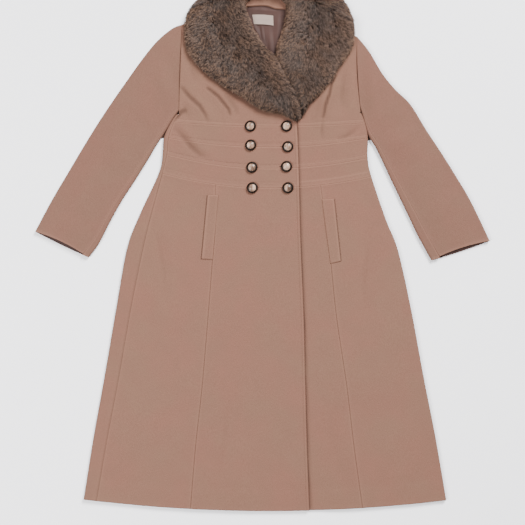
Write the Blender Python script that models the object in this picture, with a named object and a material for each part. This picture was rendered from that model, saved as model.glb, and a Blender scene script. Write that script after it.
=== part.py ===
"""A long double-breasted wool coat with a fur shawl collar, laid flat on its back.

X runs across the coat, Y from the hem to the neck, and Z up from the surface it lies on.
Right and left are the wearer's, so the right side has negative X. The origin is under the
middle of the coat. Every length is in millimetres until a mesh is made.
"""

import math
from itertools import count

import bmesh
import bpy
from mathutils import Vector

MM = 0.001

# Cloth and layers
WALL = 3.0
LAYER_GAP = 0.3
LAP_GAP = 0.6
SEAM_GAP = 0.3
LINING_WALL = 1.0
LAYER = WALL + LAYER_GAP
TOP_LAYER = LAYER + WALL + LAP_GAP
FOLD_OUTER = (TOP_LAYER + WALL) / 2.0
FOLD_INNER = FOLD_OUTER - WALL
FOLD_SPLIT = math.radians(5.0)

# Where the left front rises from under the lap: how far past the front edge, and over what length
LAP_MARGIN = 6.0
LAP_RISE_LENGTH = 84.0

# Spacing of the mesh
ROW_STEP = 46.0
FOLD_STEPS = 4
UPPER_FRONT_COLUMNS = 15
UPPER_FRONT_ROW_STEPS = 2
BACK_COLUMNS = 16
BACK_TOP_COLUMNS = 2
BACK_ROWS_UP = 6
SLEEVE_COLUMNS = 5
COLLAR_COLUMNS = 7
COLLAR_STATIONS = 24
LINING_COLUMNS = 4
STAND_STEPS = 2
LABEL_STEPS = (2, 2)
WELT_STEPS = (3, 5)
BUTTON_SIDES = 20
SHARP_ANGLE = math.radians(40.0)

# The body, ring by ring from the armpits to the hem. A ring's height is given at the centre
# front and at both edges, and the seams that run down the coat cross it at the other columns.
CENTRE_X = 15.0
BODY_COLUMNS = (
    "middle_y", "right_x", "right_y", "left_x", "left_y",
    "side_seam", "right_princess", "front_edge", "left_princess", "under_edge",
)
BODY_RINGS = (
    (296.9, -196.5, 293.4, 225.3, 296.9, -189.4, -101.0, 76.4, 126.0, -51.3),
    (266.1, -208.6, 276.3, 234.8, 274.0, -201.4, -104.0, 78.7, 128.0, -51.3),
    (219.3, -224.6, 242.1, 240.5, 239.9, -213.9, -106.0, 80.9, 130.0, -51.3),
    (170.3, -228.0, 205.7, 240.0, 194.3, -217.7, -107.0, 82.5, 131.0, -51.3),
    (125.9, -236.0, 161.2, 248.5, 152.1, -228.0, -107.2, 83.7, 132.2, -51.3),
    (30.1, -280.4, 64.3, 281.6, 54.0, -255.4, -108.3, 86.2, 147.1, -51.3),
    (-42.9, -308.9, -10.9, 308.9, -15.5, -273.6, -114.0, 88.9, 155.0, -51.3),
    (-175.1, -333.3, -145.5, 338.6, -147.7, -300.5, -124.3, 94.4, 168.7, -49.0),
    (-334.7, -360.7, -305.1, 368.2, -307.3, -328.3, -137.9, 98.3, 192.2, -46.7),
    (-471.5, -385.8, -444.1, 394.9, -443.0, -354.5, -152.8, 101.9, 208.6, -44.5),
    (-610.6, -408.1, -584.4, 419.3, -586.0, -378.5, -164.2, 107.2, 228.0, -42.2),
)
HEM_RING = len(BODY_RINGS) - 1

# Each body panel: first ring, last ring, the seams that it lies between, and its columns
PANEL_COLUMNS = ("first_ring", "last_ring", "from_seam", "to_seam", "columns")
RIGHT_PANELS = {
    "right_band_1": (1, 2, "side_seam", "front_edge", 8),
    "right_band_2": (2, 3, "side_seam", "front_edge", 8),
    "right_band_3": (3, 4, "side_seam", "front_edge", 8),
    "right_skirt_side": (4, HEM_RING, "side_seam", "right_princess", 4),
    "right_skirt_centre": (4, HEM_RING, "right_princess", "front_edge", 5),
}
LEFT_PANELS = {
    "left_band_1": (1, 2, "under_edge", "left_x", 8),
    "left_band_2": (2, 3, "under_edge", "left_x", 8),
    "left_band_3": (3, 4, "under_edge", "left_x", 8),
    "left_skirt_centre": (4, HEM_RING, "under_edge", "left_princess", 5),
    "left_skirt_side": (4, HEM_RING, "left_princess", "left_x", 5),
}

# Armholes, from the armpit to the shoulder point, each bowed a little towards the centre front
ARMHOLE_COLUMNS = ("low_x", "low_y", "high_x", "high_y", "bow")
ARMHOLES = {
    "right": (-190.4, 296.9, -182.9, 497.5, -1.6),
    "left": (223.5, 298.5, 215.0, 470.1, -3.0),
}

# The fronts above the first waist seam: how far up the armhole a row starts, and where it
# ends at the neck edge of each front. The first row is the waist seam, without an armhole.
FRONT_COLUMNS = ("armhole_share", "right_x", "right_y", "left_x", "left_y")
FRONT_ROWS = (
    (None, 78.7, 266.1, -51.3, 266.1),
    (0.0, 76.5, 281.0, -49.0, 280.9),
    (0.08, 65.0, 305.0, -35.3, 308.3),
    (0.22, 49.0, 344.7, -14.8, 344.7),
    (0.38, 26.2, 385.8, 12.5, 385.8),
    (0.55, -1.1, 426.8, 37.6, 426.8),
    (0.72, -28.5, 463.3, 55.9, 463.3),
    (0.87, -46.7, 504.3, 69.5, 504.3),
    (1.0, -60.4, 543.1, 80.9, 543.1),
)
BACK_NECK_RISE = 4.0

# Sleeves, from the armhole to the cuff: the outer fold, the inner fold, and how far inside
# the inner fold the forearm seam runs
SLEEVE_ROW = ("outer_x", "outer_y", "inner_x", "inner_y", "seam_inset")
SLEEVES = {
    "right": (
        (-183.7, 498.6, -191.2, 301.9, 9.0),
        (-206.3, 489.5, -199.5, 292.5, 9.0),
        (-240.5, 461.0, -208.8, 280.6, 9.5),
        (-272.9, 421.6, -224.2, 257.2, 10.0),
        (-306.7, 374.4, -242.0, 222.9, 10.5),
        (-334.7, 334.5, -261.8, 189.3, 11.0),
        (-371.2, 280.0, -288.4, 146.4, 11.5),
        (-407.4, 221.6, -320.3, 97.4, 12.0),
        (-443.9, 160.1, -347.7, 48.3, 13.0),
        (-480.2, 98.5, -372.8, -0.7, 14.0),
        (-518.7, 26.4, -396.5, -32.6, 15.0),
    ),
    "left": (
        (216.0, 471.8, 223.6, 309.5, 9.5),
        (242.8, 438.2, 230.6, 294.6, 10.0),
        (272.2, 389.0, 245.0, 249.0, 11.0),
        (301.2, 352.5, 259.6, 217.1, 12.0),
        (337.7, 316.2, 275.3, 182.9, 13.0),
        (373.9, 258.1, 294.5, 141.8, 14.5),
        (407.0, 207.9, 313.7, 101.9, 16.0),
        (439.4, 156.2, 334.0, 59.7, 17.5),
        (475.8, 94.4, 354.5, 16.4, 19.0),
        (518.7, 5.0, 385.3, -39.4, 20.0),
    ),
}
# How far each layer of the cuff is hollowed up the sleeve
CUFF_TOP_BOW = 6.0
CUFF_UNDER_BOW = -1.5

# Soft folds in the upper layers: a line, how wide it spreads and how high it stands
FOLD_COLUMNS = ("start_x", "start_y", "end_x", "end_y", "half_width", "height")
FOLDS = (
    (-124.0, 372.0, -55.0, 296.0, 17.0, 3.0),
    (-90.0, 372.0, -34.0, 312.0, 15.0, -2.2),
    (-170.0, 340.0, -108.0, 272.0, 16.0, 2.6),
    (160.0, 376.0, 136.0, 286.0, 16.0, 3.0),
    (184.0, 356.0, 166.0, 290.0, 16.0, -2.2),
)

# Collar halves from the centre back to the point: outer edge, inner edge
COLLAR_ROW = ("outer_x", "outer_y", "inner_x", "inner_y")
COLLAR_ROWS = {
    "right": (
        (9.7, 611.0, 9.7, 563.5),
        (-38.0, 609.0, -17.0, 561.0),
        (-86.0, 595.5, -34.0, 555.0),
        (-131.0, 573.0, -41.0, 543.0),
        (-161.2, 543.1, -39.0, 529.0),
        (-175.1, 517.3, -34.0, 514.0),
        (-180.1, 483.8, -23.9, 488.4),
        (-176.7, 451.9, -10.0, 462.5),
        (-165.3, 426.8, 5.0, 444.0),
        (-147.1, 404.0, 19.0, 431.0),
        (-122.0, 381.5, 30.0, 419.0),
        (-86.4, 355.0, 42.0, 396.0),
        (-47.2, 332.0, 57.0, 370.0),
        (-14.4, 309.2, 70.5, 349.3),
        (12.0, 300.5, 78.5, 330.5),
        (36.0, 298.0, 83.0, 312.0),
        (55.0, 289.5, 83.5, 298.0),
        (76.4, 281.5, 82.0, 284.0),
    ),
    "left": (
        (10.3, 611.0, 10.3, 563.5),
        (62.7, 609.2, 30.8, 561.3),
        (112.9, 595.5, 48.0, 556.0),
        (165.3, 572.7, 56.5, 540.0),
        (192.2, 547.7, 56.5, 524.0),
        (208.0, 515.7, 53.6, 505.5),
        (212.5, 478.0, 48.0, 484.0),
        (206.5, 446.0, 41.0, 462.0),
        (193.0, 424.0, 36.5, 443.0),
        (176.0, 399.0, 36.0, 421.5),
        (160.0, 371.0, 46.5, 401.5),
        (142.0, 350.0, 60.5, 375.5),
        (124.0, 330.5, 75.0, 354.5),
        (106.0, 312.8, 83.0, 336.0),
        (96.0, 301.5, 87.6, 316.5),
        (87.0, 291.5, 86.6, 301.0),
        (83.5, 285.5, 85.2, 290.5),
    ),
}
# How thick the roll is at its crest and rims, and how it thins from a station on to its point
COLLAR_CREST = 23.0
COLLAR_OUTER_RIM = 9.0
COLLAR_INNER_RIM = 14.0
COLLAR_ROUNDNESS = 0.8
COLLAR_TAPER_START = 0.7
COLLAR_POINT_SHARE = 0.55
# How far its top stands inside its edges, and the most of its width that this may take
COLLAR_RIM_INSET = 3.0
COLLAR_RIM_SHARE = 0.25
COLLAR_CLEARANCE = 0.9
# Past the shoulder line the collar comes down to the surface
SHOULDER_DROP_START = 22.0
SHOULDER_DROP_LENGTH = 16.0

# The lining, collar stand and label in the neck opening
LINING_ROWS_Y = (403.0, 420.0, 445.0, 475.0, 510.0, 543.5)
LINING_SIDE_CLEARANCE = 1.6
STAND_COLUMNS = ("x", "low_y", "high_y")
STAND_ROWS = (
    (-37.5, 538.0, 546.0),
    (-30.0, 539.0, 553.5),
    (-16.0, 540.2, 558.5),
    (-2.0, 541.0, 560.8),
    (10.0, 540.4, 561.6),
    (20.0, 537.5, 560.8),
    (30.0, 534.0, 558.6),
    (43.0, 533.2, 553.8),
    (53.0, 533.0, 543.0),
)
LABEL_CORNERS = ((-19.4, 499.3), (25.1, 496.4), (24.4, 518.9), (-23.7, 521.0))
LABEL_WALL = 1.0

# Pocket welts, corner by corner: top at the side, top at the front, bottom at the front,
# bottom at the side
WELTS = {
    "right": ((-126.3, 109.7), (-100.8, 109.7), (-113.5, -37.6), (-140.2, -35.8)),
    "left": ((164.2, 101.2), (135.2, 99.9), (154.6, -46.5), (179.4, -41.0)),
}
WELT_WALL = 2.4

# Buttons, in the order of the wearer's rows from the top
BUTTON_CENTRES = (
    (-27.7, 266.5), (54.7, 266.5),
    (-26.9, 223.2), (57.5, 219.6),
    (-24.2, 172.6), (54.5, 174.4),
    (-23.3, 126.1), (57.7, 126.1),
)
BUTTON_RADIUS = 12.7
BUTTON_HEIGHT = 6.2
# Profile from the back to the crown: share of the radius, share of the height
BUTTON_PROFILE = (
    (0.86, 0.0), (1.0, 0.22), (1.0, 0.5), (0.9, 0.72), (0.76, 0.64), (0.52, 0.86), (0.24, 0.98),
)

# Finishes: colour, roughness
WOOL = ((0.44, 0.27, 0.205), 0.95)
SLEEVE_WOOL = ((0.40, 0.25, 0.19), 0.95)
FUR = ((0.155, 0.105, 0.08), 0.9)
SATIN = ((0.21, 0.135, 0.115), 0.4)
LABEL_CLOTH = ((0.62, 0.56, 0.50), 0.7)
HORN = ((0.55, 0.45, 0.36), 0.25)


def smooth_step(share):
    share = min(max(share, 0.0), 1.0)
    return share * share * (3.0 - 2.0 * share)


def mix(a, b, share):
    return a + (b - a) * share


def spaced(low, high, steps):
    """Values at equal steps from low to high, with both."""
    return [mix(low, high, step / steps) for step in range(steps + 1)]


# Angles of the points on a round side fold, without the first: the fold's upper half, its
# lower half, and the whole of it
UPPER_FOLD = spaced(math.pi / 2.0, FOLD_SPLIT, FOLD_STEPS)[1:]
LOWER_FOLD = spaced(-math.pi / 2.0, -FOLD_SPLIT, FOLD_STEPS)[1:]
WHOLE_FOLD = spaced(-math.pi / 2.0, math.pi / 2.0, 2 * FOLD_STEPS)[1:]


def curve_through(rows, place):
    """The values of a table's rows at a place between them, on a smooth curve."""
    last = len(rows) - 1
    index = min(int(place), last - 1)
    t = place - index
    before = rows[max(index - 1, 0)]
    start = rows[index]
    end = rows[index + 1]
    after = rows[min(index + 2, last)]
    values = []
    for a, b, c, d in zip(before, start, end, after):
        slope_in = (c - a) / 2.0
        slope_out = (d - b) / 2.0
        values.append(
            b * (2.0 * t**3 - 3.0 * t**2 + 1.0)
            + slope_in * (t**3 - 2.0 * t**2 + t)
            + c * (3.0 * t**2 - 2.0 * t**3)
            + slope_out * (t**3 - t**2)
        )
    return values


def read_table(pairs, key):
    """The value at a key in a list of (key, value) pairs in rising order of key."""
    if key <= pairs[0][0]:
        return pairs[0][1]
    for (low, low_value), (high, high_value) in zip(pairs, pairs[1:]):
        if key <= high:
            return mix(low_value, high_value, (key - low) / (high - low))
    return pairs[-1][1]


def ring_at(place):
    return dict(zip(BODY_COLUMNS, curve_through(BODY_RINGS, place)))


def ring_y(ring, x):
    """How high a ring lies at x: it rises to both edges of the body."""
    if x < CENTRE_X:
        share = (CENTRE_X - x) / (CENTRE_X - ring["right_x"])
        rise = ring["right_y"] - ring["middle_y"]
    else:
        share = (x - CENTRE_X) / (ring["left_x"] - CENTRE_X)
        rise = ring["left_y"] - ring["middle_y"]
    return ring["middle_y"] + rise * share**2


def armhole_point(side, share):
    hole = dict(zip(ARMHOLE_COLUMNS, ARMHOLES[side]))
    x = mix(hole["low_x"], hole["high_x"], share) + hole["bow"] * 4.0 * share * (1.0 - share)
    return x, mix(hole["low_y"], hole["high_y"], share)


def neck_points(side):
    """The neck edge of a front as (x, y) points, from the waist seam to the shoulder."""
    column = FRONT_COLUMNS.index(side + "_x")
    return [row[column:column + 2] for row in FRONT_ROWS]


def front_edge_pairs():
    """The free edge of the overlapping front as (y, x) pairs, from the hem to the neck."""
    edge = BODY_COLUMNS.index("front_edge")
    pairs = [(ring[0], ring[edge]) for ring in reversed(BODY_RINGS[1:])]
    return pairs + [(y, x) for x, y in neck_points("right")[1:]]


FRONT_EDGE = front_edge_pairs()


def fold_height(x, y):
    """The relief of the soft folds at a point of the upper layers."""
    height = 0.0
    for row in FOLDS:
        fold = dict(zip(FOLD_COLUMNS, row))
        start = Vector((fold["start_x"], fold["start_y"]))
        along = Vector((fold["end_x"], fold["end_y"])) - start
        offset = Vector((x, y)) - start
        share = offset.dot(along) / along.length_squared
        if 0.0 < share < 1.0:
            across = (offset - along * share).length / fold["half_width"]
            height += fold["height"] * math.exp(-across * across) * math.sin(math.pi * share)
    return height


def right_floor(x, y):
    """The underside of the right front, which laps over the left one."""
    return TOP_LAYER + fold_height(x, y)


def past_lap(x, y):
    """0 where the left front lies flat under the lap, rising to 1 towards the side."""
    return smooth_step((x - read_table(FRONT_EDGE, y) - LAP_MARGIN) / LAP_RISE_LENGTH)


def left_floor(x, y):
    """The underside of the left front: on the back under the lap, and higher at the side."""
    free = past_lap(x, y)
    return mix(LAYER, TOP_LAYER, free) + fold_height(x, y) * free


def make_material(name, finish):
    colour, roughness = finish
    material = bpy.data.materials.new(name)
    material.use_nodes = True
    shader = material.node_tree.nodes["Principled BSDF"]
    shader.inputs["Base Color"].default_value = (*colour, 1.0)
    shader.inputs["Roughness"].default_value = roughness
    shader.inputs["Metallic"].default_value = 0.0
    material.diffuse_color = (*colour, 1.0)
    return material


def add_object(name, mesh_data, finish):
    mesh = bpy.data.meshes.new(name)
    mesh_data.to_mesh(mesh)
    mesh_data.free()
    mesh.shade_smooth()
    mesh.set_sharp_from_angle(angle=SHARP_ANGLE)
    mesh.materials.append(make_material(name, finish))
    piece = bpy.data.objects.new(name, mesh)
    bpy.context.scene.collection.objects.link(piece)
    return piece


def make_wall(name, grid, finish):
    """A closed wall from a grid of (outer, inner) points, keyed by row and column.

    Four neighbours make a square of wall. Where the grid stops, the wall gets its edge.
    """
    data = bmesh.new()
    outer = {}
    inner = {}
    for key in sorted(grid):
        outer[key] = data.verts.new(Vector(grid[key][0]) * MM)
        inner[key] = data.verts.new(Vector(grid[key][1]) * MM)
    sides = {}
    for row, column in sorted(grid):
        corners = [(row, column), (row, column + 1), (row + 1, column + 1), (row + 1, column)]
        if any(corner not in grid for corner in corners):
            continue
        data.faces.new([outer[corner] for corner in corners])
        data.faces.new([inner[corner] for corner in reversed(corners)])
        for start, end in zip(corners, corners[1:] + corners[:1]):
            if (end, start) in sides:
                del sides[(end, start)]
            else:
                sides[(start, end)] = True
    for start, end in sides:
        data.faces.new([outer[end], outer[start], inner[start], inner[end]])
    loose = [vertex for vertex in data.verts if not vertex.link_faces]
    bmesh.ops.delete(data, geom=loose, context="VERTS")
    bmesh.ops.recalc_face_normals(data, faces=data.faces)
    return add_object(name, data, finish)


def fold_points(centre, towards, angle):
    """Outer and inner (x, z) of a round side fold at an angle from its outermost point."""
    outer = (centre + towards * FOLD_OUTER * math.cos(angle), FOLD_OUTER * (1.0 + math.sin(angle)))
    inner = (
        centre + towards * FOLD_INNER * math.cos(angle),
        FOLD_OUTER + FOLD_INNER * math.sin(angle),
    )
    return outer, inner


def add_fold(grid, row, columns, ring, centre, towards, angles, shift=0.0):
    """Adds a round side fold to a row of a grid, one column for each angle."""
    for column, angle in zip(columns, angles):
        (outer_x, outer_z), (inner_x, inner_z) = fold_points(centre, towards, angle)
        y = ring_y(ring, outer_x) + shift
        grid[row, column] = ((outer_x, y, outer_z), (inner_x, y, inner_z))


def body_places(start, end):
    """Places of rows between two rings, close enough to follow the coat's shape."""
    places = [float(start)]
    for ring in range(start, end):
        height = BODY_RINGS[ring][0] - BODY_RINGS[ring + 1][0]
        steps = UPPER_FRONT_ROW_STEPS if ring == 0 else max(1, round(height / ROW_STEP))
        places += spaced(ring, ring + 1.0, steps)[1:]
    return places


def seam_shift(row, last_row, first_ring, last_ring):
    """Half the seam gap, so that a panel ends just short of the next one."""
    if row == 0 and first_ring > 0:
        return -SEAM_GAP / 2.0
    if row == last_row and last_ring < HEM_RING:
        return SEAM_GAP / 2.0
    return 0.0


def make_body_panel(name, panel, floor):
    spec = dict(zip(PANEL_COLUMNS, panel))
    places = body_places(spec["first_ring"], spec["last_ring"])
    wraps = spec["to_seam"] == "left_x"
    grid = {}
    for row, place in enumerate(places):
        ring = ring_at(place)
        shift = seam_shift(row, len(places) - 1, spec["first_ring"], spec["last_ring"])
        low = ring[spec["from_seam"]] + SEAM_GAP / 2.0
        high = ring[spec["to_seam"]] - (FOLD_OUTER if wraps else SEAM_GAP / 2.0)
        for column, x in enumerate(spaced(low, high, spec["columns"])):
            y = ring_y(ring, x) + shift
            z = floor(x, y)
            grid[row, column] = ((x, y, z + WALL), (x, y, z))
        if wraps:
            add_fold(grid, row, count(spec["columns"] + 1), ring, high, 1.0, UPPER_FOLD, shift)
    return make_wall(name, grid, WOOL)


def front_side_point(side, place):
    """Where a row of the upper front ends at the side: the seam or fold, then the armhole."""
    if place > 1.0:
        share = curve_through([row[:1] for row in FRONT_ROWS[1:]], place - 1.0)[0]
        return armhole_point(side, share)
    ring = ring_at(1.0 - place)
    if side == "right":
        x = ring["side_seam"] + SEAM_GAP / 2.0
    else:
        x = ring["left_x"] - FOLD_OUTER
    return x, ring_y(ring, x)


def make_upper_front(side):
    """The front from the first waist seam to the shoulder.

    Its rows take the waist seam's curve and lose it towards the shoulder.
    """
    floor = right_floor if side == "right" else left_floor
    neck = neck_points(side)
    waist = ring_at(1.0)
    neck[0] = (neck[0][0], ring_y(waist, neck[0][0]))
    waist_side = front_side_point(side, 0.0)
    last_place = len(FRONT_ROWS) - 1
    last_row = last_place * UPPER_FRONT_ROW_STEPS
    grid = {}
    for row in range(last_row + 1):
        place = row / UPPER_FRONT_ROW_STEPS
        neck_x, neck_y = curve_through(neck, place)
        edge_x, edge_y = front_side_point(side, place)
        shift = SEAM_GAP / 2.0 if row == 0 else 0.0
        curve_left = (1.0 - row / last_row) ** 2
        for column, across in enumerate(spaced(0.0, 1.0, UPPER_FRONT_COLUMNS)):
            x = mix(edge_x, neck_x, across)
            seam_y = ring_y(waist, mix(waist_side[0], neck[0][0], across))
            curve = seam_y - mix(waist_side[1], neck[0][1], across)
            y = mix(edge_y, neck_y, across) + curve * curve_left + shift
            z = floor(x, y)
            grid[row, column] = ((x, y, z + WALL), (x, y, z))
        if side == "left" and place <= 1.0:
            add_fold(grid, row, count(-1, -1), ring_at(1.0 - place), edge_x, 1.0, UPPER_FOLD, shift)
    return make_wall(side + "_upper_front", grid, WOOL)


def shoulder_y(x):
    """The height of the shoulder seams and the back neckline at x."""
    right_shoulder = armhole_point("right", 1.0)
    left_shoulder = armhole_point("left", 1.0)
    right_neck = neck_points("right")[-1]
    left_neck = neck_points("left")[-1]
    if x < right_neck[0]:
        share = (x - right_shoulder[0]) / (right_neck[0] - right_shoulder[0])
        return mix(right_shoulder[1], right_neck[1], share)
    if x > left_neck[0]:
        share = (x - left_neck[0]) / (left_shoulder[0] - left_neck[0])
        return mix(left_neck[1], left_shoulder[1], share)
    share = (x - right_neck[0]) / (left_neck[0] - right_neck[0])
    return right_neck[1] + BACK_NECK_RISE * math.sin(math.pi * share)


def make_back():
    """The back lies flat, wraps round the right side up to its seam, and on the left side
    reaches half way up the fold, where the front meets it."""
    grid = {}
    places = body_places(0, HEM_RING)
    for row, place in enumerate(places):
        ring = ring_at(place)
        right_centre = ring["right_x"] + FOLD_OUTER
        left_centre = ring["left_x"] - FOLD_OUTER
        for column, x in enumerate(spaced(right_centre, left_centre, BACK_COLUMNS)):
            y = ring_y(ring, x)
            grid[row, column] = ((x, y, 0.0), (x, y, WALL))
        add_fold(grid, row, count(BACK_COLUMNS + 1), ring, left_centre, 1.0, LOWER_FOLD)
        add_fold(grid, row, count(-1, -1), ring, right_centre, -1.0, WHOLE_FOLD)
        seam_x = ring["side_seam"] - SEAM_GAP / 2.0
        strip = spaced(right_centre, seam_x, BACK_TOP_COLUMNS)[1:]
        for column, x in zip(count(-len(WHOLE_FOLD) - 1, -1), strip):
            y = ring_y(ring, x)
            z = right_floor(x, y)
            grid[row, column] = ((x, y, z + WALL), (x, y, z))
    armpits = ring_at(0.0)
    right_centre = armpits["right_x"] + FOLD_OUTER
    left_centre = armpits["left_x"] - FOLD_OUTER
    for step in range(1, BACK_ROWS_UP + 1):
        share = step / BACK_ROWS_UP
        right_x, right_y = armhole_point("right", share)
        left_x, left_y = armhole_point("left", share)
        for column in range(BACK_COLUMNS + 1):
            across = column / BACK_COLUMNS
            x = mix(right_x, left_x, across)
            low_x = mix(right_centre, left_centre, across)
            top_x = mix(armhole_point("right", 1.0)[0], armhole_point("left", 1.0)[0], across)
            y = mix(ring_y(armpits, low_x), shoulder_y(top_x), share)
            grid[-step, column] = ((x, y, 0.0), (x, y, WALL))
    return make_wall("back", grid, WOOL)


def sleeve_section(length, seam_inset):
    """The section of a flat sleeve as (along, z) pairs, outer and inner, for both pieces.

    Along runs from the outer fold to the inner fold.
    """
    top = []
    under = []
    for angle in spaced(FOLD_SPLIT, math.pi / 2.0, FOLD_STEPS):
        top.append(fold_points(FOLD_OUTER, -1.0, angle))
        under.append(fold_points(FOLD_OUTER, -1.0, -angle))
    seam = length - seam_inset
    for along in spaced(FOLD_OUTER, seam - SEAM_GAP / 2.0, SLEEVE_COLUMNS)[1:]:
        top.append(((along, TOP_LAYER + WALL), (along, TOP_LAYER)))
    for along in spaced(FOLD_OUTER, length - FOLD_OUTER, SLEEVE_COLUMNS)[1:]:
        under.append(((along, 0.0), (along, WALL)))
    under += [fold_points(length - FOLD_OUTER, 1.0, angle) for angle in WHOLE_FOLD]
    along = seam + SEAM_GAP / 2.0
    under.append(((along, TOP_LAYER + WALL), (along, TOP_LAYER)))
    return top, under


def make_sleeve(side):
    """A two-piece sleeve lying flat, open at the armhole and at the cuff."""
    rows = SLEEVES[side]
    last = len(rows) - 1
    grids = ({}, {})
    bows = (CUFF_TOP_BOW, CUFF_UNDER_BOW)
    armhole_bow = ARMHOLES[side][ARMHOLE_COLUMNS.index("bow")]
    for row, values in enumerate(rows):
        folds = dict(zip(SLEEVE_ROW, values))
        outer_fold = Vector((folds["outer_x"], folds["outer_y"]))
        across = Vector((folds["inner_x"], folds["inner_y"])) - outer_fold
        length = across.length
        direction = across / length
        up_sleeve = direction.orthogonal()
        if up_sleeve.y < 0.0:
            up_sleeve = -up_sleeve
        sections = sleeve_section(length, folds["seam_inset"])
        for grid, section, cuff_bow in zip(grids, sections, bows):
            for column, (outer, inner) in enumerate(section):
                points = []
                for along, z in (outer, inner):
                    place = outer_fold + direction * along
                    share = along / length
                    round_off = 4.0 * share * (1.0 - share)
                    if row == last:
                        place = place + up_sleeve * (cuff_bow * round_off)
                    if row == 0:
                        place = place + Vector((armhole_bow * round_off, 0.0))
                    points.append((place.x, place.y, z))
                grid[row, column] = tuple(points)
    for kind, grid in zip(("top", "under"), grids):
        make_wall(side + "_" + kind + "_sleeve", grid, SLEEVE_WOOL)


def collar_floor(side, x, y):
    """The collar's underside: on the front that carries it, and down to the surface past it."""
    layer = TOP_LAYER if side == "right" else mix(LAYER, TOP_LAYER, past_lap(x, y))
    carried = layer + WALL + max(0.0, fold_height(x, y)) + COLLAR_CLEARANCE
    past = y - shoulder_y(x) - SHOULDER_DROP_START
    return mix(carried, 0.0, smooth_step(past / SHOULDER_DROP_LENGTH))


def make_collar(side):
    """Half of the fur collar: a rounded roll, as thick as its pile, narrowing to its point."""
    rows = COLLAR_ROWS[side]
    grid = {}
    for station in range(COLLAR_STATIONS + 1):
        share = station / COLLAR_STATIONS
        edges = dict(zip(COLLAR_ROW, curve_through(rows, share * (len(rows) - 1))))
        outer_edge = Vector((edges["outer_x"], edges["outer_y"]))
        across = Vector((edges["inner_x"], edges["inner_y"])) - outer_edge
        inset_limit = across.length * COLLAR_RIM_SHARE
        tapered = smooth_step((share - COLLAR_TAPER_START) / (1.0 - COLLAR_TAPER_START))
        fullness = mix(1.0, COLLAR_POINT_SHARE, tapered)
        for column, place in enumerate(spaced(0.0, 1.0, COLLAR_COLUMNS)):
            low = outer_edge + across * place
            inset = COLLAR_RIM_INSET * math.cos(math.pi * place)
            high = low + across.normalized() * min(max(inset, -inset_limit), inset_limit)
            rim = mix(COLLAR_OUTER_RIM, COLLAR_INNER_RIM, place)
            crest = math.sin(math.pi * place) ** COLLAR_ROUNDNESS
            pile = mix(rim, COLLAR_CREST, crest) * fullness
            floor = collar_floor(side, low.x, low.y)
            past = smooth_step((low.y - shoulder_y(low.x)) / SHOULDER_DROP_LENGTH)
            top = max(floor, mix(LAYER + TOP_LAYER, TOP_LAYER / 2.0, past)) + pile
            grid[station, column] = ((high.x, high.y, top), (low.x, low.y, floor))
    return make_wall(side + "_collar", grid, FUR)


def make_back_lining():
    """The patch of lining that shows between the fronts, on the inside of the back."""
    right_neck = [(y, x) for x, y in neck_points("right")]
    left_neck = [(y, x) for x, y in neck_points("left")]
    grid = {}
    for row, y in enumerate(LINING_ROWS_Y):
        low = read_table(right_neck, y) + LINING_SIDE_CLEARANCE
        high = read_table(left_neck, y) - LINING_SIDE_CLEARANCE
        for column, x in enumerate(spaced(low, high, LINING_COLUMNS)):
            grid[row, column] = ((x, y, LAYER + LINING_WALL), (x, y, LAYER))
    return make_wall("back_lining", grid, SATIN)


def make_collar_stand():
    """The wool band between the lining and the collar, at the back of the neck."""
    floor = LAYER + LINING_WALL + LAYER_GAP
    grid = {}
    for column, values in enumerate(STAND_ROWS):
        band = dict(zip(STAND_COLUMNS, values))
        for row, y in enumerate(spaced(band["low_y"], band["high_y"], STAND_STEPS)):
            grid[row, column] = ((band["x"], y, floor + WALL), (band["x"], y, floor))
    return make_wall("collar_stand", grid, WOOL)


def patch_grid(corners, steps, floor, wall):
    """A four-cornered patch that lies on a surface, moved out from the surface's points."""
    columns, rows = steps
    first, second, third, fourth = [Vector(corner) for corner in corners]
    grid = {}
    for row in range(rows + 1):
        for column in range(columns + 1):
            top = first.lerp(second, column / columns)
            bottom = fourth.lerp(third, column / columns)
            place = top.lerp(bottom, row / rows)
            z = floor(place.x, place.y)
            grid[row, column] = ((place.x, place.y, z + wall), (place.x, place.y, z))
    return grid


def make_label():
    floor = LAYER + LINING_WALL + LAYER_GAP
    grid = patch_grid(LABEL_CORNERS, LABEL_STEPS, lambda x, y: floor, LABEL_WALL)
    return make_wall("label", grid, LABEL_CLOTH)


def make_welt(side):
    front_floor = right_floor if side == "right" else left_floor

    def floor(x, y):
        return front_floor(x, y) + LAYER

    return make_wall(side + "_welt", patch_grid(WELTS[side], WELT_STEPS, floor, WELT_WALL), WOOL)


def make_button(number, centre):
    """A domed button with a raised rim, sewn flat on the overlapping front."""
    data = bmesh.new()
    floor = TOP_LAYER + LAYER
    rings = []
    for radius_share, height_share in BUTTON_PROFILE:
        ring = []
        for side in range(BUTTON_SIDES):
            angle = 2.0 * math.pi * side / BUTTON_SIDES
            radius = BUTTON_RADIUS * radius_share
            x = centre[0] + radius * math.cos(angle)
            y = centre[1] + radius * math.sin(angle)
            ring.append(data.verts.new(Vector((x, y, floor + BUTTON_HEIGHT * height_share)) * MM))
        rings.append(ring)
    for low, high in zip(rings, rings[1:]):
        for side in range(BUTTON_SIDES):
            after = (side + 1) % BUTTON_SIDES
            data.faces.new((low[side], low[after], high[after], high[side]))
    data.faces.new(list(reversed(rings[0])))
    data.faces.new(rings[-1])
    bmesh.ops.recalc_face_normals(data, faces=data.faces)
    return add_object("button_" + str(number), data, HORN)


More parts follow.
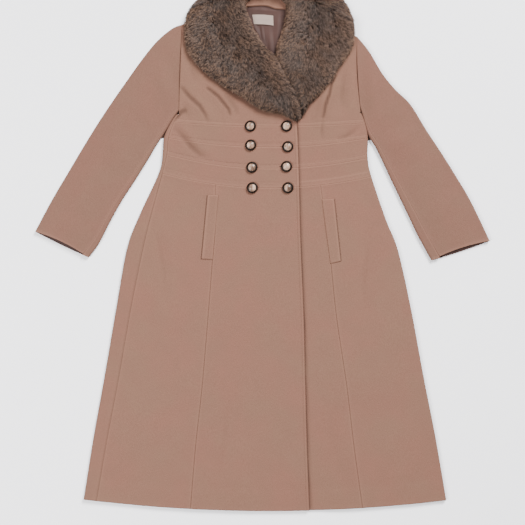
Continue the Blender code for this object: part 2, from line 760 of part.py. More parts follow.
def main():
    for piece in list(bpy.data.objects):
        bpy.data.objects.remove(piece)
    make_back()
    for name, panel in RIGHT_PANELS.items():
        make_body_panel(name, panel, right_floor)
    for name, panel in LEFT_PANELS.items():
        make_body_panel(name, panel, left_floor)
    for side in ("right", "left"):
        make_upper_front(side)
        make_sleeve(side)
        make_collar(side)
        make_welt(side)
    make_back_lining()
    make_collar_stand()
    make_label()
    for number, centre in enumerate(BUTTON_CENTRES, 1):
        make_button(number, centre)


main()
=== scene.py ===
"""The finish of a long wool coat with a fur shawl collar, laid flat on its back.

Run as a script it loads the coat's frame, dresses every piece in its cloth, fur, lining, buttons
and stitching, and sets the stage. Right and left are the wearer's, so the right side has negative
X. Lengths in the tables are in millimetres.
"""

import math

import bmesh
import bpy
import numpy as np
from bpy.props import FloatProperty, FloatVectorProperty, IntProperty, PointerProperty
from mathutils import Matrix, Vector, noise


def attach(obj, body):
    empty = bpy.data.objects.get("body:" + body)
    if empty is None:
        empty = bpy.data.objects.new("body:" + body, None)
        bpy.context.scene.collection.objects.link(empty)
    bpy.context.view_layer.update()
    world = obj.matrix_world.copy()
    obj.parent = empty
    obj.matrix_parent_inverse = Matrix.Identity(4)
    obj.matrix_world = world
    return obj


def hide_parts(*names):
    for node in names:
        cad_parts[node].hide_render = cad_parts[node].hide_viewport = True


bl_info = {
    "name": "Wool coat finish",
    "version": (1, 0, 0),
    "blender": (4, 5, 0),
    "location": "3D View > Sidebar > Coat",
    "description": "Dresses a wool coat with a fur collar, and sets its stage",
    "category": "Object",
}

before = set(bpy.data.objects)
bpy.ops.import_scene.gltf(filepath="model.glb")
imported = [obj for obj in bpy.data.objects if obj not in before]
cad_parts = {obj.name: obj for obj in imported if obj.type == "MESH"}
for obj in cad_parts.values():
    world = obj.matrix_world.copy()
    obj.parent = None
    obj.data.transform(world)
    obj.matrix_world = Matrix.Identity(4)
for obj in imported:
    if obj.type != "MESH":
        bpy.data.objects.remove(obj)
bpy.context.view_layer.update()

MM = 0.001

# Cloth and layers, as in the solids
WALL = 3.0
LAYER_GAP = 0.3
LAP_GAP = 0.6
SEAM_GAP = 0.1
LINING_WALL = 1.0
LAYER = WALL + LAYER_GAP
TOP_LAYER = LAYER + WALL + LAP_GAP
FOLD_OUTER = (TOP_LAYER + WALL) / 2.0
FOLD_INNER = FOLD_OUTER - WALL
FOLD_SPLIT = math.radians(5.0)

# Spacing of the fine meshes
UPPER_STEP = 3.0
CLOTH_STEP = 3.5
SKIRT_STEPS = (8.0, 5.0)
BACK_ROW_STEP = 9.0
SLEEVE_STEP = 7.0
FOLD_STEPS = 6
SEAM_PLACES = (0.0, 0.4, 1.3, 2.6, 4.4)
WAIST_PLACES = (0.0, 0.4, 1.3, 2.6, 4.6, 7.4, 8.8, 10.2)
FREE_PLACES = (0.0, 0.4, 1.2, 2.2, 3.4, 5.0, 6.2, 7.0, 7.8, 9.5)

# How a panel rounds off at a seam, a hem and a free edge, in depth and width
ROUNDINGS = {"seam": (0.45, 1.2), "hem": (2.0, 2.6), "free": (2.0, 2.6)}
# Pressed edges stand up beside a seam or an edge: height, distance from it and half width
RIDGES = {"seam": (0.4, 2.4, 1.7), "hem": (0.5, 3.2, 2.4), "free": (1.1, 3.4, 2.2)}
EDGE_STITCH_INSET = 7.0
EDGE_STITCH_DEPTH = 0.5
EDGE_STITCH_WIDTH = 1.2
TOPSTITCH_OFFSET = 8.8
TOPSTITCH_DEPTH = 0.35
TOPSTITCH_WIDTH = 1.1
# How wide the nap is pale at a pressed edge, and how strongly and wide at a line of stitches: worn
# nap, with a painted highlight where the raised edge catches the light
PRESS_WIDTH = 2.0
STITCH_PRESS = 0.7
STITCH_PRESS_WIDTH = 1.6

# The body's rings from the armpits down to the hem: the height of the middle, the points of both
# sides, and the x of the seams and edges between them
CENTRE_X = 15.0
BODY_COLUMNS = (
    "middle_y", "right_x", "right_y", "left_x", "left_y",
    "side_seam", "right_princess", "front_edge", "left_princess", "under_edge",
)
BODY_RINGS = (
    (296.9, -196.5, 293.4, 225.3, 296.9, -189.4, -101.0, 76.4, 126.0, -51.3),
    (266.1, -208.6, 276.3, 234.8, 274.0, -201.4, -104.0, 78.7, 128.0, -51.3),
    (219.3, -224.6, 242.1, 240.5, 239.9, -213.9, -106.0, 80.9, 130.0, -51.3),
    (170.3, -228.0, 205.7, 240.0, 194.3, -217.7, -107.0, 82.5, 131.0, -51.3),
    (125.9, -236.0, 161.2, 248.5, 152.1, -228.0, -107.2, 83.7, 132.2, -51.3),
    (30.1, -280.4, 64.3, 281.6, 54.0, -255.4, -108.3, 86.2, 147.1, -51.3),
    (-42.9, -308.9, -10.9, 308.9, -15.5, -273.6, -114.0, 88.9, 155.0, -51.3),
    (-175.1, -333.3, -145.5, 338.6, -147.7, -300.5, -124.3, 94.4, 168.7, -49.0),
    (-334.7, -360.7, -305.1, 368.2, -307.3, -328.3, -137.9, 98.3, 192.2, -46.7),
    (-471.5, -385.8, -444.1, 394.9, -443.0, -354.5, -152.8, 101.9, 208.6, -44.5),
    (-610.6, -408.1, -584.4, 419.3, -586.0, -378.5, -164.2, 107.2, 228.0, -42.2),
)
HEM_RING = len(BODY_RINGS) - 1

# The armholes' ends, and how far they bow between them
ARMHOLE_COLUMNS = ("low_x", "low_y", "high_x", "high_y", "bow")
ARMHOLES = {
    "right": (-190.4, 296.9, -182.9, 497.5, -1.6),
    "left": (223.5, 298.5, 215.0, 470.1, -3.0),
}

# The fronts' edges from the first waist seam up to the neck, with the armhole's share beside each
FRONT_COLUMNS = ("armhole_share", "right_x", "right_y", "left_x", "left_y")
FRONT_ROWS = (
    (None, 78.7, 266.1, -51.3, 266.1),
    (0.0, 76.5, 281.0, -49.0, 280.9),
    (0.08, 65.0, 305.0, -35.3, 308.3),
    (0.22, 49.0, 344.7, -14.8, 344.7),
    (0.38, 26.2, 385.8, 12.5, 385.8),
    (0.55, -1.1, 426.8, 37.6, 426.8),
    (0.72, -28.5, 463.3, 55.9, 463.3),
    (0.87, -46.7, 504.3, 69.5, 504.3),
    (1.0, -60.4, 543.1, 80.9, 543.1),
)
UPPER_FRONT_LENGTH = 250.0
BACK_NECK_RISE = 4.0
ARMHOLE_TOP = 480.0
# The left front rises to the top layer past the lap's edge. The right one lies on it as far as the
# under edge
LAP_MARGIN = 6.0
LAP_RISE_LENGTH = 84.0
UNDER_EDGE_X = -56.0
OFF_LAP_LENGTH = 24.0
# A face that falls away at an edge keeps this much wall
LEAST_WALL = 0.5
# Columns and rows of the back: across it, round to the side seam, and up from the armpits
BACK_COLUMNS = 24
BACK_TOP_COLUMNS = 6
BACK_ROWS_UP = 20

# Each sleeve down from its armhole: a point of the outer fold, the one of the inner fold across
# from it, and how far inside the inner fold the seam runs
SLEEVES = {
    "right": (
        (-183.2, 498.6, -190.7, 301.9, 9.0),
        (-206.3, 489.5, -198.0, 292.0, 9.0),
        (-240.5, 461.0, -206.6, 279.6, 9.5),
        (-272.9, 421.6, -220.4, 256.4, 10.0),
        (-306.7, 374.4, -242.0, 222.9, 10.5),
        (-334.7, 334.5, -261.8, 189.3, 11.0),
        (-371.2, 280.0, -288.4, 146.4, 11.5),
        (-407.4, 221.6, -320.3, 97.4, 12.0),
        (-443.9, 160.1, -347.7, 48.3, 13.0),
        (-480.2, 98.5, -372.8, -0.7, 14.0),
        (-518.7, 26.4, -396.5, -32.6, 15.0),
    ),
    "left": (
        (215.4, 471.8, 223.4, 307.0, 9.5),
        (242.8, 438.2, 227.4, 294.0, 10.0),
        (272.2, 389.0, 241.0, 248.0, 11.0),
        (301.2, 352.5, 258.6, 217.1, 12.0),
        (337.7, 316.2, 275.3, 182.9, 13.0),
        (373.9, 258.1, 294.5, 141.8, 14.5),
        (407.0, 207.9, 313.7, 101.9, 16.0),
        (439.4, 156.2, 334.0, 59.7, 17.5),
        (475.8, 94.4, 354.5, 16.4, 19.0),
        (518.7, 5.0, 385.3, -39.4, 20.0),
    ),
}
SLEEVE_LENGTH = 600.0
MEAN_SLEEVE_WIDTH = 160.0
# How the cuff's edge bows on the top sleeve and on the under one
CUFF_BOWS = (6.0, -1.5)
# How far a sleeve stands up in its middle, and how quickly that falls to its folds
SLEEVE_RISE = 3.5
SLEEVE_RISE_POWER = 1.5
# Creases fade out this close to a sleeve's ends, its outer fold and its inner one
SLEEVE_END_CALM = 20.0
SLEEVE_FOLD_CALM = (16.0, 14.0)
PAST_SEAM_COLUMNS = 4
# The seam allowance inside each armhole: half its width, its wall, its height over the back's
# cloth, and the shares of the armhole that it runs between
ALLOWANCE_HALF = 6.0
ALLOWANCE_WALL = 1.0
ALLOWANCE_LIFT = 0.7
ALLOWANCE_ENDS = (0.03, 0.97)
ALLOWANCE_ROWS = 30
ALLOWANCE_COLUMNS = 4
# The folded underarm that shows between the body and the sleeve: how far down it reaches on each
# side, its face's height, its underside's, and how dark its painted shade is beside the sleeve's
# wool
UNDERARM_FOOT = {"right": 240.0, "left": 236.0}
UNDERARM_TOP = 0.95
UNDERARM_UNDERSIDE = 0.25
UNDERARM_SHADE = 0.3
# How far it goes under the folds beside it, and how far it keeps from the armhole and its top
UNDERARM_TUCK = 1.2
UNDERARM_TUCK_LENGTH = 3.0
UNDERARM_CLEARANCE = 0.05
UNDERARM_TOP_INSET = 0.5
UNDERARM_LEAST_WIDTH = 0.2
UNDERARM_ROWS = 48
UNDERARM_COLUMNS = 4

# The large folds of the solids: a line's start and end, its half width and its height
FOLDS = (
    (-124.0, 372.0, -55.0, 296.0, 17.0, 3.0),
    (-90.0, 372.0, -34.0, 312.0, 15.0, -2.2),
    (-170.0, 340.0, -108.0, 272.0, 16.0, 2.6),
    (160.0, 376.0, 136.0, 286.0, 16.0, 3.0),
    (184.0, 356.0, 166.0, 290.0, 16.0, -2.2),
)
# The smaller creases that only show in the cloth: half width, depth, the height of the roll beside
# it, and the points that it runs through. A depth over 0 is a fold that stands up
CREASES = (
    (5.0, -3.8, 0.0, (
        (-190.0, 362.0), (-182.0, 352.0), (-166.5, 333.5), (-143.0, 312.5), (-130.0, 291.5),
        (-123.0, 268.0),
    )),
    (3.0, -6.5, 0.0, (
        (-130.0, 356.0), (-122.0, 350.5), (-101.0, 333.5), (-88.0, 318.0), (-77.5, 304.5),
        (-72.0, 286.0),
    )),
    (9.0, -2.0, 0.0, ((-96.0, 346.0), (-76.0, 328.0), (-60.0, 308.0), (-56.0, 284.0))),
    (8.0, -2.8, 1.2, (
        (-210.0, 270.0), (-184.0, 248.0), (-163.0, 221.0), (-143.0, 203.0), (-116.0, 192.0),
    )),
    (6.0, -1.3, 0.4, ((-182.0, 318.0), (-173.0, 302.0), (-169.0, 272.0))),
    (11.0, 3.0, 0.0, ((157.0, 372.0), (145.0, 340.0), (133.0, 310.0), (126.0, 262.0))),
    (2.8, -9.0, 0.0, (
        (166.0, 384.0), (157.0, 362.0), (151.5, 336.0), (143.0, 312.0), (137.0, 284.0),
    )),
    (4.5, -2.6, 0.0, (
        (151.0, 338.0), (143.0, 312.0), (137.0, 284.0), (135.0, 256.0), (138.0, 228.0),
    )),
    (6.0, -2.0, 0.0, ((224.0, 268.0), (205.0, 253.0), (186.0, 241.0), (164.0, 235.0))),
    (6.0, -4.2, 0.0, ((-172.0, 303.0), (-185.0, 299.0), (-194.0, 290.0), (-201.0, 276.0))),
    (2.4, 1.1, 0.0, ((-86.6, 306.0), (-86.6, 270.0))),
    (2.4, 1.1, 0.0, ((119.4, 297.0), (119.4, 262.0))),
    (2.4, 0.9, 0.0, ((126.0, 297.0), (126.0, 262.0))),
    (10.0, -1.6, 1.0, ((196.0, 420.0), (186.0, 372.0), (181.0, 330.0), (190.0, 290.0))),
    (9.0, -1.4, 0.9, ((-168.0, 430.0), (-160.0, 392.0), (-144.0, 352.0))),
    (12.0, -1.3, 0.8, ((-262.0, 60.0), (-236.0, 10.0), (-222.0, -70.0), (-226.0, -160.0))),
    (14.0, -1.2, 0.8, ((262.0, 60.0), (240.0, -10.0), (232.0, -110.0), (246.0, -220.0))),
    (16.0, -1.1, 0.7, ((-60.0, -240.0), (-78.0, -380.0), (-96.0, -520.0), (-104.0, -610.0))),
    (15.0, -1.0, 0.7, ((150.0, -300.0), (158.0, -430.0), (176.0, -560.0))),
)
# Creases of the sleeves, as the folds are given
SLEEVE_CREASES = (
    (-215.0, 440.0, -196.0, 330.0, 12.0, -1.8),
    (-236.0, 400.0, -214.0, 318.0, 11.0, 1.6),
    (-300.0, 300.0, -250.0, 240.0, 12.0, -1.3),
    (-392.0, 206.0, -318.0, 132.0, 16.0, -1.2),
    (-352.0, 250.0, -302.0, 176.0, 14.0, 1.2),
    (-470.0, 62.0, -420.0, 20.0, 16.0, 1.2),
    (232.0, 430.0, 232.0, 330.0, 11.0, -1.8),
    (252.0, 396.0, 248.0, 300.0, 12.0, 1.6),
    (334.0, 292.0, 274.0, 236.0, 12.0, -2.0),
    (352.0, 268.0, 292.0, 204.0, 13.0, 2.0),
    (300.0, 330.0, 262.0, 270.0, 11.0, 1.4),
    (372.0, 214.0, 318.0, 150.0, 14.0, -1.4),
    (440.0, 110.0, 378.0, 50.0, 18.0, 1.2),
)
# How many half widths a crease reaches, how far off its roll lies, and how it fades at its ends
CREASE_REACH = 3.0
ROLL_PLACE = 1.7
CREASE_FADE = 0.7
# The room for creases over the layer below, how dark the painted shade in a full crease is, and
# where that starts
CREASE_ROOM = 3.3
CREASE_SHADE = 1.4
CREASE_SHADE_START = 0.25
# Waves of worn cloth: their lengths across and down, where they start, and their height
BODY_WAVES = ((90.0, 120.0, 3.1, 1.3), (30.0, 38.0, 8.7, 0.4))
SLEEVE_WAVES = ((70.0, 80.0, 21.3, 1.0), (26.0, 30.0, 5.5, 0.3))
LINING_WAVES = ((7.0, 26.0, 4.4, 0.45),)
# The pale lines along the lap's free edge and the cuffs, worn nap with a painted highlight:
# strengths and widths
FREE_PRESS = 0.95
FREE_PRESS_WIDTH = 4.6
CUFF_PRESS = 2.4
CUFF_PRESS_WIDTH = 3.6
# The painted shade in a skirt seam's ditch beside its pale line, and the painted shade in a
# pocket's mouth with a pale line on its welt, the pale lines worn nap with a painted highlight:
# strengths, places and widths
SKIRT_PRESS = 0.4
SEAM_SHADE = 0.7
SEAM_SHADE_WIDTH = 1.2
SEAM_SHADE_START = 40.0
MOUTH_SHADE = 3.0
MOUTH_SHADE_WIDTH = 1.7
MOUTH_PRESS = 0.9
MOUTH_PRESS_PLACE = 3.9
# Painted shadow that darkens the wool beside the fur and the lap's edge
FUR_SHADE = 1.2
LAP_SHADE = 1.5
LAP_SHADE_WIDTH = 4.6
# Creases fade out this close to the folds at the body's sides
FOLD_CALM = 12.0

# Each half of the collar from the back of the neck to its point: a point of its outer edge, and
# the one of its inner edge across from it
COLLAR_ROWS = {
    "right": (
        (9.7, 611.0, 9.7, 563.5),
        (-38.0, 609.0, -17.0, 561.0),
        (-86.0, 595.5, -34.0, 555.0),
        (-131.0, 573.0, -41.0, 543.0),
        (-161.2, 543.1, -39.0, 529.0),
        (-175.1, 517.3, -34.0, 514.0),
        (-180.1, 483.8, -23.9, 488.4),
        (-176.7, 451.9, -10.0, 462.5),
        (-165.3, 426.8, 5.0, 444.0),
        (-147.1, 404.0, 19.0, 431.0),
        (-122.0, 381.5, 30.0, 419.0),
        (-86.4, 355.0, 42.0, 396.0),
        (-47.2, 332.0, 57.0, 370.0),
        (-14.4, 309.2, 70.5, 349.3),
        (12.0, 300.5, 78.5, 330.5),
        (36.0, 298.0, 83.0, 312.0),
        (55.0, 289.5, 83.5, 298.0),
        (76.4, 281.5, 82.0, 284.0),
    ),
    "left": (
        (10.3, 611.0, 10.3, 563.5),
        (62.7, 609.2, 30.8, 561.3),
        (112.9, 595.5, 48.0, 556.0),
        (165.3, 572.7, 56.5, 540.0),
        (192.2, 547.7, 56.5, 524.0),
        (208.0, 515.7, 53.6, 505.5),
        (212.5, 478.0, 48.0, 484.0),
        (206.5, 446.0, 41.0, 462.0),
        (193.0, 424.0, 36.5, 443.0),
        (176.0, 399.0, 36.0, 421.5),
        (160.0, 371.0, 46.5, 401.5),
        (142.0, 350.0, 60.5, 375.5),
        (124.0, 330.5, 75.0, 354.5),
        (106.0, 312.8, 83.0, 336.0),
        (96.0, 301.5, 87.6, 316.5),
        (87.0, 291.5, 86.6, 301.0),
        (83.5, 285.5, 85.2, 290.5),
    ),
}
# The stretches of the fur's outer edge that lie on the fronts, as lines of painted shadow
FUR_EDGES = (
    (8.0, -1.0, 0.0, tuple(row[0:2] for row in COLLAR_ROWS["right"][6:17])),
    (3.6, -1.0, 0.0, tuple(row[0:2] for row in COLLAR_ROWS["left"][7:17])),
)
# The fur's height at the crest, the share of it at the point, and the room under the backing
COLLAR_CREST = 23.0
COLLAR_POINT_SHARE = 0.55
COLLAR_CLEARANCE = 0.9
# How far the backing keeps inside the fur: at the outer edge, the inner edge and the crest, and the
# most that it may be of the collar's width at each edge
COLLAR_SIDE_PILE = 9.0
COLLAR_INNER_PILE = 3.5
COLLAR_TOP_PILE = 9.0
COLLAR_SIDE_SHARE = 0.3
COLLAR_INNER_SHARE = 0.15
# Where the collar grows flatter towards its point, how much higher its inner half is, and how far
# its edges lie over what carries it
COLLAR_TAPER_START = 0.7
COLLAR_TAPER_LENGTH = 0.3
COLLAR_LEAN = 0.12
COLLAR_BASE_RISE = 1.0
COLLAR_ROUNDNESS = 0.75
# The backing's wall at its edges, and how much more it has under the crest
COLLAR_EDGE_WALL = 0.3
COLLAR_BASE_WALL = 2.0
COLLAR_ACROSS = 28
COLLAR_STATIONS = 90
# The seed of the fur's draws and eddies, the eddies' size, the way that the fur falls, and how it
# leans at the crest and at the edges
FUR_SEED = 41
FUR_EDDY = 22.0
FUR_FALL = (0.0, -0.75, 0.0)
FUR_CREST_LEAN = 0.15
FUR_EDGE_LEAN = 1.3
# A tuft's length beside the pile, how much shorter it is at the edges and at the collar's point,
# and how far it rises and runs for its length
TUFT_LENGTHS = (0.8, 1.15)
TUFT_EDGE_SHORT = 0.2
TUFT_POINT_SHORT = 0.3
TUFT_POINT_START = 0.93
TUFT_POINT_LENGTH = 0.07
TUFT_RISE = 0.55
TUFT_RUN = 0.8
# A strand's reach beside its tuft, its spread at the tip, its scatter, and how far its root sinks
STRAND_REACH = (0.65, 1.08)
STRAND_SPREAD = 0.45
STRAND_SCATTER = 0.5
STRAND_TWIST = 0.22
ROOT_SINK = 0.4
ROOT_SINK_AREA = 10.0
# A strand's middle: its shares of root and tip, its lift and its width beside the root's
STRAND_BEND = (0.42, 0.58)
STRAND_LIFT = 0.22
STRAND_MIDDLE_WIDTH = 0.9
STRAND_LOWEST = 0.3
# How far along the strand each of its five points takes its colour, and the tuft's share of it
STRAND_SHADES = (0.0, 0.0, 0.6, 0.6, 1.0)
TUFT_LOT = 0.8
# Tufts on the right and the left collar, on each of the spans that it is made in
FUR_TUFTS = {"right": 6700, "left": 6100}
FUR_SPANS = ((0.0, 0.45), (0.45, 1.01))
SHOULDER_DROP_START = 22.0
SHOULDER_DROP_LENGTH = 16.0

LINING_ROWS_Y = (403.0, 543.5)
LINING_STEPS = 56
LINING_SIDE_CLEARANCE = 1.6
# How far the lining stands off the back, the room for its pleats, and how deep they may sink
LINING_LOFT = 0.5
LINING_ROOM = 0.9
LINING_SINK = 0.2
# Folds of the lining, given in the same way
LINING_FOLDS = (
    (-3.0, 497.0, 2.0, 462.0, 1.8, 1.1),
    (2.5, 497.0, 8.0, 456.0, 1.6, -0.9),
    (-16.0, 492.0, 6.0, 440.0, 3.0, 0.8),
    (14.0, 494.0, 20.0, 425.0, 4.5, 1.2),
    (24.0, 492.0, 27.0, 430.0, 3.0, -0.8),
    (-30.0, 520.0, -8.0, 470.0, 4.0, 1.3),
    (34.0, 530.0, 34.0, 450.0, 5.0, 1.2),
    (44.0, 530.0, 40.0, 470.0, 3.0, -1.0),
    (-34.0, 534.0, 44.0, 528.0, 2.6, 1.3),
    (-8.0, 498.0, -2.0, 476.0, 2.2, -1.0),
)
# The wool band inside the back of the neck: x, its lower edge and its upper one
STAND_ROWS = (
    (-37.5, 538.0, 546.0),
    (-30.0, 539.0, 553.5),
    (-16.0, 540.2, 558.5),
    (-2.0, 541.0, 560.8),
    (10.0, 540.4, 561.6),
    (20.0, 537.5, 560.8),
    (30.0, 534.0, 558.6),
    (43.0, 533.2, 553.8),
    (53.0, 533.0, 543.0),
)
STAND_COLUMNS = 60
STAND_STEPS = 14
# The band's roll along its lower edge, its place and half width, and the rise to its upper edge
STAND_ROLL = 1.3
STAND_ROLL_PLACE = (2.2, 1.8)
STAND_RISE = 2.5
LABEL_CORNERS = ((-23.7, 521.0), (24.4, 518.9), (25.1, 496.4), (-19.4, 499.3))
LABEL_ROWS = 16
LABEL_COLUMNS = 36
# The label's wall, its underside's height, how its middle rises and bows up the coat, and the
# stretch over which its stitches follow that
LABEL_WALL = 0.8
LABEL_FLOOR = LAYER + LINING_WALL + 1.6
LABEL_RISE = 0.7
LABEL_BOW = 1.1
LABEL_START_X = -21.0
LABEL_WIDTH = 46.0

WELTS = {
    "right": ((-126.3, 109.7), (-100.8, 109.7), (-113.5, -37.6), (-140.2, -35.8)),
    "left": ((135.2, 99.9), (164.2, 101.2), (179.4, -41.0), (154.6, -46.5)),
}
# A welt's wall, how far it lies over the skirt, its columns' spacing, and its share of a hem's
# rounding
WELT_WALL = 2.4
WELT_CLEARANCE = 0.15
WELT_STEP = 3.0
WELT_ROUNDING = 0.8
# The pressed line at the top of the hem's turn-up: its height over the hem, depth and half width
HEM_TURN_UP = 60.0
TURN_UP_DEPTH = 0.5
TURN_UP_WIDTH = 2.4

BUTTON_CENTRES = (
    (-27.7, 266.5), (54.7, 266.5),
    (-26.9, 223.2), (57.5, 219.6),
    (-24.2, 172.6), (54.5, 174.4),
    (-23.3, 126.1), (57.7, 126.1),
)
BUTTON_RADIUS = 12.7
BUTTON_HEIGHT = 6.2
BUTTON_SIDES = 56
BUTTON_TURN = 1.7
# Profile from the back to the crown: share of the radius, share of the height, rim or centre
BUTTON_PROFILE = (
    (0.80, 0.00, "rim"), (0.93, 0.04, "rim"), (0.99, 0.16, "rim"), (1.00, 0.34, "rim"),
    (0.985, 0.52, "rim"), (0.94, 0.68, "rim"), (0.87, 0.78, "rim"), (0.79, 0.79, "rim"),
    (0.71, 0.70, "rim"), (0.645, 0.61, "rim"), (0.62, 0.62, "centre"), (0.56, 0.71, "centre"),
    (0.45, 0.84, "centre"), (0.30, 0.95, "centre"), (0.12, 1.0, "centre"),
)
BUTTONHOLE_LENGTH = 30.0
BUTTONHOLE_STEPS = 60
# A buttonhole's middle lies this far off its button's. Its stitches reach from the cut outwards
BUTTONHOLE_SHIFT = 3.0
BUTTONHOLE_REACH = (0.25, 1.7)
BUTTONHOLE_LIFT = 0.15
BUTTONHOLE_END = 1.0
CUT_LENGTH = 6.0
CUT_LIFT = 0.3

# Stitches: the pitch from one to the next, a stitch's length, and its thread's width
EDGE_STITCH = (4.2, 2.6, 0.75)
WAIST_STITCH = (3.6, 2.8, 0.7)
WELT_STITCH = (3.4, 2.5, 0.55)
HOLE_STITCH = (1.4, 1.5, 0.55)
CUT_MARK = (5.0, 5.6, 1.3)
LABEL_STITCH = (2.4, 1.8, 0.35)
WAIST_SEAM_RINGS = (1, 2, 3, 4)
# Where the waist's stitches start beside the side seam and the lap's edge, and their steps
WAIST_STITCH_INSET = 3.0
LAP_STITCH_INSET = 2.0
WAIST_STITCH_STEPS = 60
# The front edge's stitches: steps below the waist and above it, the neck's row at their top, and
# the step ahead that gives their direction there
EDGE_STITCH_STEPS = 160
EDGE_STITCH_STEPS_ABOVE = 30
EDGE_STITCH_TOP = 3.0
PLACE_AHEAD = 0.05
# How far a line of stitches runs inside a welt or the label, and in how many steps a side
WELT_STITCH_LINE = (2.4, 26)
LABEL_STITCH_LINE = (1.6, 20)
# How far a thread lies over the cloth, and how far the front edge's one sinks into it
THREAD_LIFT = 0.1
EDGE_STITCH_SINK = 0.25


def mix(a, b, share):
    return a + (b - a) * share


def smooth_step(share):
    share = min(max(share, 0.0), 1.0)
    return share * share * (3.0 - 2.0 * share)


def flat_places(low, high, steps):
    return [mix(low, high, step / steps) for step in range(steps + 1)]


def curve_through(rows, place):
    """The values of a table's rows at a place between them, on a smooth curve."""
    last = len(rows) - 1
    index = min(int(place), last - 1)
    t = place - index
    before = rows[max(index - 1, 0)]
    after = rows[min(index + 2, last)]
    values = []
    for a, b, c, d in zip(before, rows[index], rows[index + 1], after):
        values.append(
            b * (2.0 * t**3 - 3.0 * t**2 + 1.0)
            + (c - a) / 2.0 * (t**3 - 2.0 * t**2 + t)
            + c * (3.0 * t**2 - 2.0 * t**3)
            + (d - b) / 2.0 * (t**3 - t**2)
        )
    return values


def read_table(pairs, key):
    """The value at a key in a list of (key, value) pairs in rising order of key."""
    if key <= pairs[0][0]:
        return pairs[0][1]
    for (low, low_value), (high, high_value) in zip(pairs, pairs[1:]):
        if key <= high:
            return mix(low_value, high_value, (key - low) / (high - low))
    return pairs[-1][1]


def edge_places(length, step, near):
    """Distances across a panel, a step apart, with closer ones beside both edges."""
    close = [distance for distance in near if distance < length / 2.0 - step / 2.0]
    steps = max(1, round((length - 2.0 * close[-1]) / step))
    middle = flat_places(close[-1], length - close[-1], steps)[1:-1]
    return close + middle + [length - distance for distance in reversed(close)]


# The body's shape

def ring_at(place):
    return dict(zip(BODY_COLUMNS, curve_through(BODY_RINGS, place)))


def ring_y(ring, x):
    if x < CENTRE_X:
        share = (CENTRE_X - x) / (CENTRE_X - ring["right_x"])
        rise = ring["right_y"] - ring["middle_y"]
    else:
        share = (x - CENTRE_X) / (ring["left_x"] - CENTRE_X)
        rise = ring["left_y"] - ring["middle_y"]
    return ring["middle_y"] + rise * share**2


def place_below(first_ring, depth):
    """The place between rings that lies a depth below a ring."""
    for ring in range(first_ring, HEM_RING):
        height = BODY_RINGS[ring][0] - BODY_RINGS[ring + 1][0]
        if depth <= height:
            return ring + depth / height
        depth -= height
    return float(HEM_RING)


def armhole_point(side, share):
    hole = dict(zip(ARMHOLE_COLUMNS, ARMHOLES[side]))
    x = mix(hole["low_x"], hole["high_x"], share) + hole["bow"] * 4.0 * share * (1.0 - share)
    return x, mix(hole["low_y"], hole["high_y"], share)


def front_edge_pairs():
    edge = BODY_COLUMNS.index("front_edge")
    pairs = [(ring[0], ring[edge]) for ring in reversed(BODY_RINGS[1:])]
    return pairs + [(row[2], row[1]) for row in FRONT_ROWS[1:]]


def side_pairs(side):
    """The body's outermost x at each height, down from the armhole's top."""
    x = BODY_COLUMNS.index(side + "_x")
    y = BODY_COLUMNS.index(side + "_y")
    pairs = [(ring[y], ring[x]) for ring in reversed(BODY_RINGS)]
    return pairs + [(ARMHOLE_TOP, pairs[-1][1])]


FRONT_EDGE = front_edge_pairs()
RIGHT_SIDE = side_pairs("right")
LEFT_SIDE = side_pairs("left")


def crease_relief(table, x, y):
    """The relief of curved creases, each a trough with a soft roll on one side."""
    height = 0.0
    for half_width, depth, roll, points in table:
        reach = CREASE_REACH * half_width
        near = None
        for number, ((start_x, start_y), (end_x, end_y)) in enumerate(zip(points, points[1:])):
            if not min(start_x, end_x) - reach < x < max(start_x, end_x) + reach:
                continue
            if not min(start_y, end_y) - reach < y < max(start_y, end_y) + reach:
                continue
            along_x, along_y = end_x - start_x, end_y - start_y
            length_squared = along_x**2 + along_y**2
            share = ((x - start_x) * along_x + (y - start_y) * along_y) / length_squared
            share = min(max(share, 0.0), 1.0)
            off_x, off_y = x - start_x - along_x * share, y - start_y - along_y * share
            distance = math.hypot(off_x, off_y)
            if near is None or distance < near[0]:
                side = math.copysign(1.0, along_x * off_y - along_y * off_x)
                near = (distance, side, (number + share) / (len(points) - 1))
        if near is None or not 0.0 < near[2] < 1.0:
            continue
        across = near[1] * near[0] / half_width
        beside = across * math.copysign(1.0, roll) - ROLL_PLACE
        profile = depth * math.exp(-across**2) + abs(roll) * math.exp(-beside**2)
        height += profile * math.sin(math.pi * near[2]) ** CREASE_FADE
    return height


def line_relief(table, x, y):
    """The relief of a table of folds, each along a line that fades out at both ends."""
    height = 0.0
    for start_x, start_y, end_x, end_y, half_width, fold in table:
        along_x, along_y = end_x - start_x, end_y - start_y
        length_squared = along_x**2 + along_y**2
        share = ((x - start_x) * along_x + (y - start_y) * along_y) / length_squared
        if 0.0 < share < 1.0:
            off_x, off_y = x - start_x - along_x * share, y - start_y - along_y * share
            across = (off_x**2 + off_y**2) / half_width**2
            if across < CREASE_REACH**2:
                height += fold * math.exp(-across) * math.sin(math.pi * share)
    return height


def with_waves(height, table, x, y):
    """Adds the slight unevenness of cloth that has been worn and laid down."""
    for across, down, start, rise in table:
        height += noise.noise(Vector((x / across, y / down, start))) * rise
    return height


def cloth_relief(x, y):
    return with_waves(crease_relief(CREASES, x, y), BODY_WAVES, x, y)


def past_lap(x, y):
    return smooth_step((x - read_table(FRONT_EDGE, y) - LAP_MARGIN) / LAP_RISE_LENGTH)


def off_lap(x):
    """0 where the right front lies on the left one, 1 clear of it."""
    return smooth_step((UNDER_EDGE_X - x) / OFF_LAP_LENGTH)


def right_faces(x, y):
    """The height of the right cloth's face and of its underside."""
    relief = max(-CREASE_ROOM, cloth_relief(x, y))
    beside_fold = smooth_step((x - read_table(RIGHT_SIDE, y) - FOLD_OUTER) / FOLD_CALM)
    relief *= beside_fold
    floor = TOP_LAYER + line_relief(FOLDS, x, y) * beside_fold + relief * off_lap(x)
    return floor + WALL + relief * (1.0 - off_lap(x)), floor


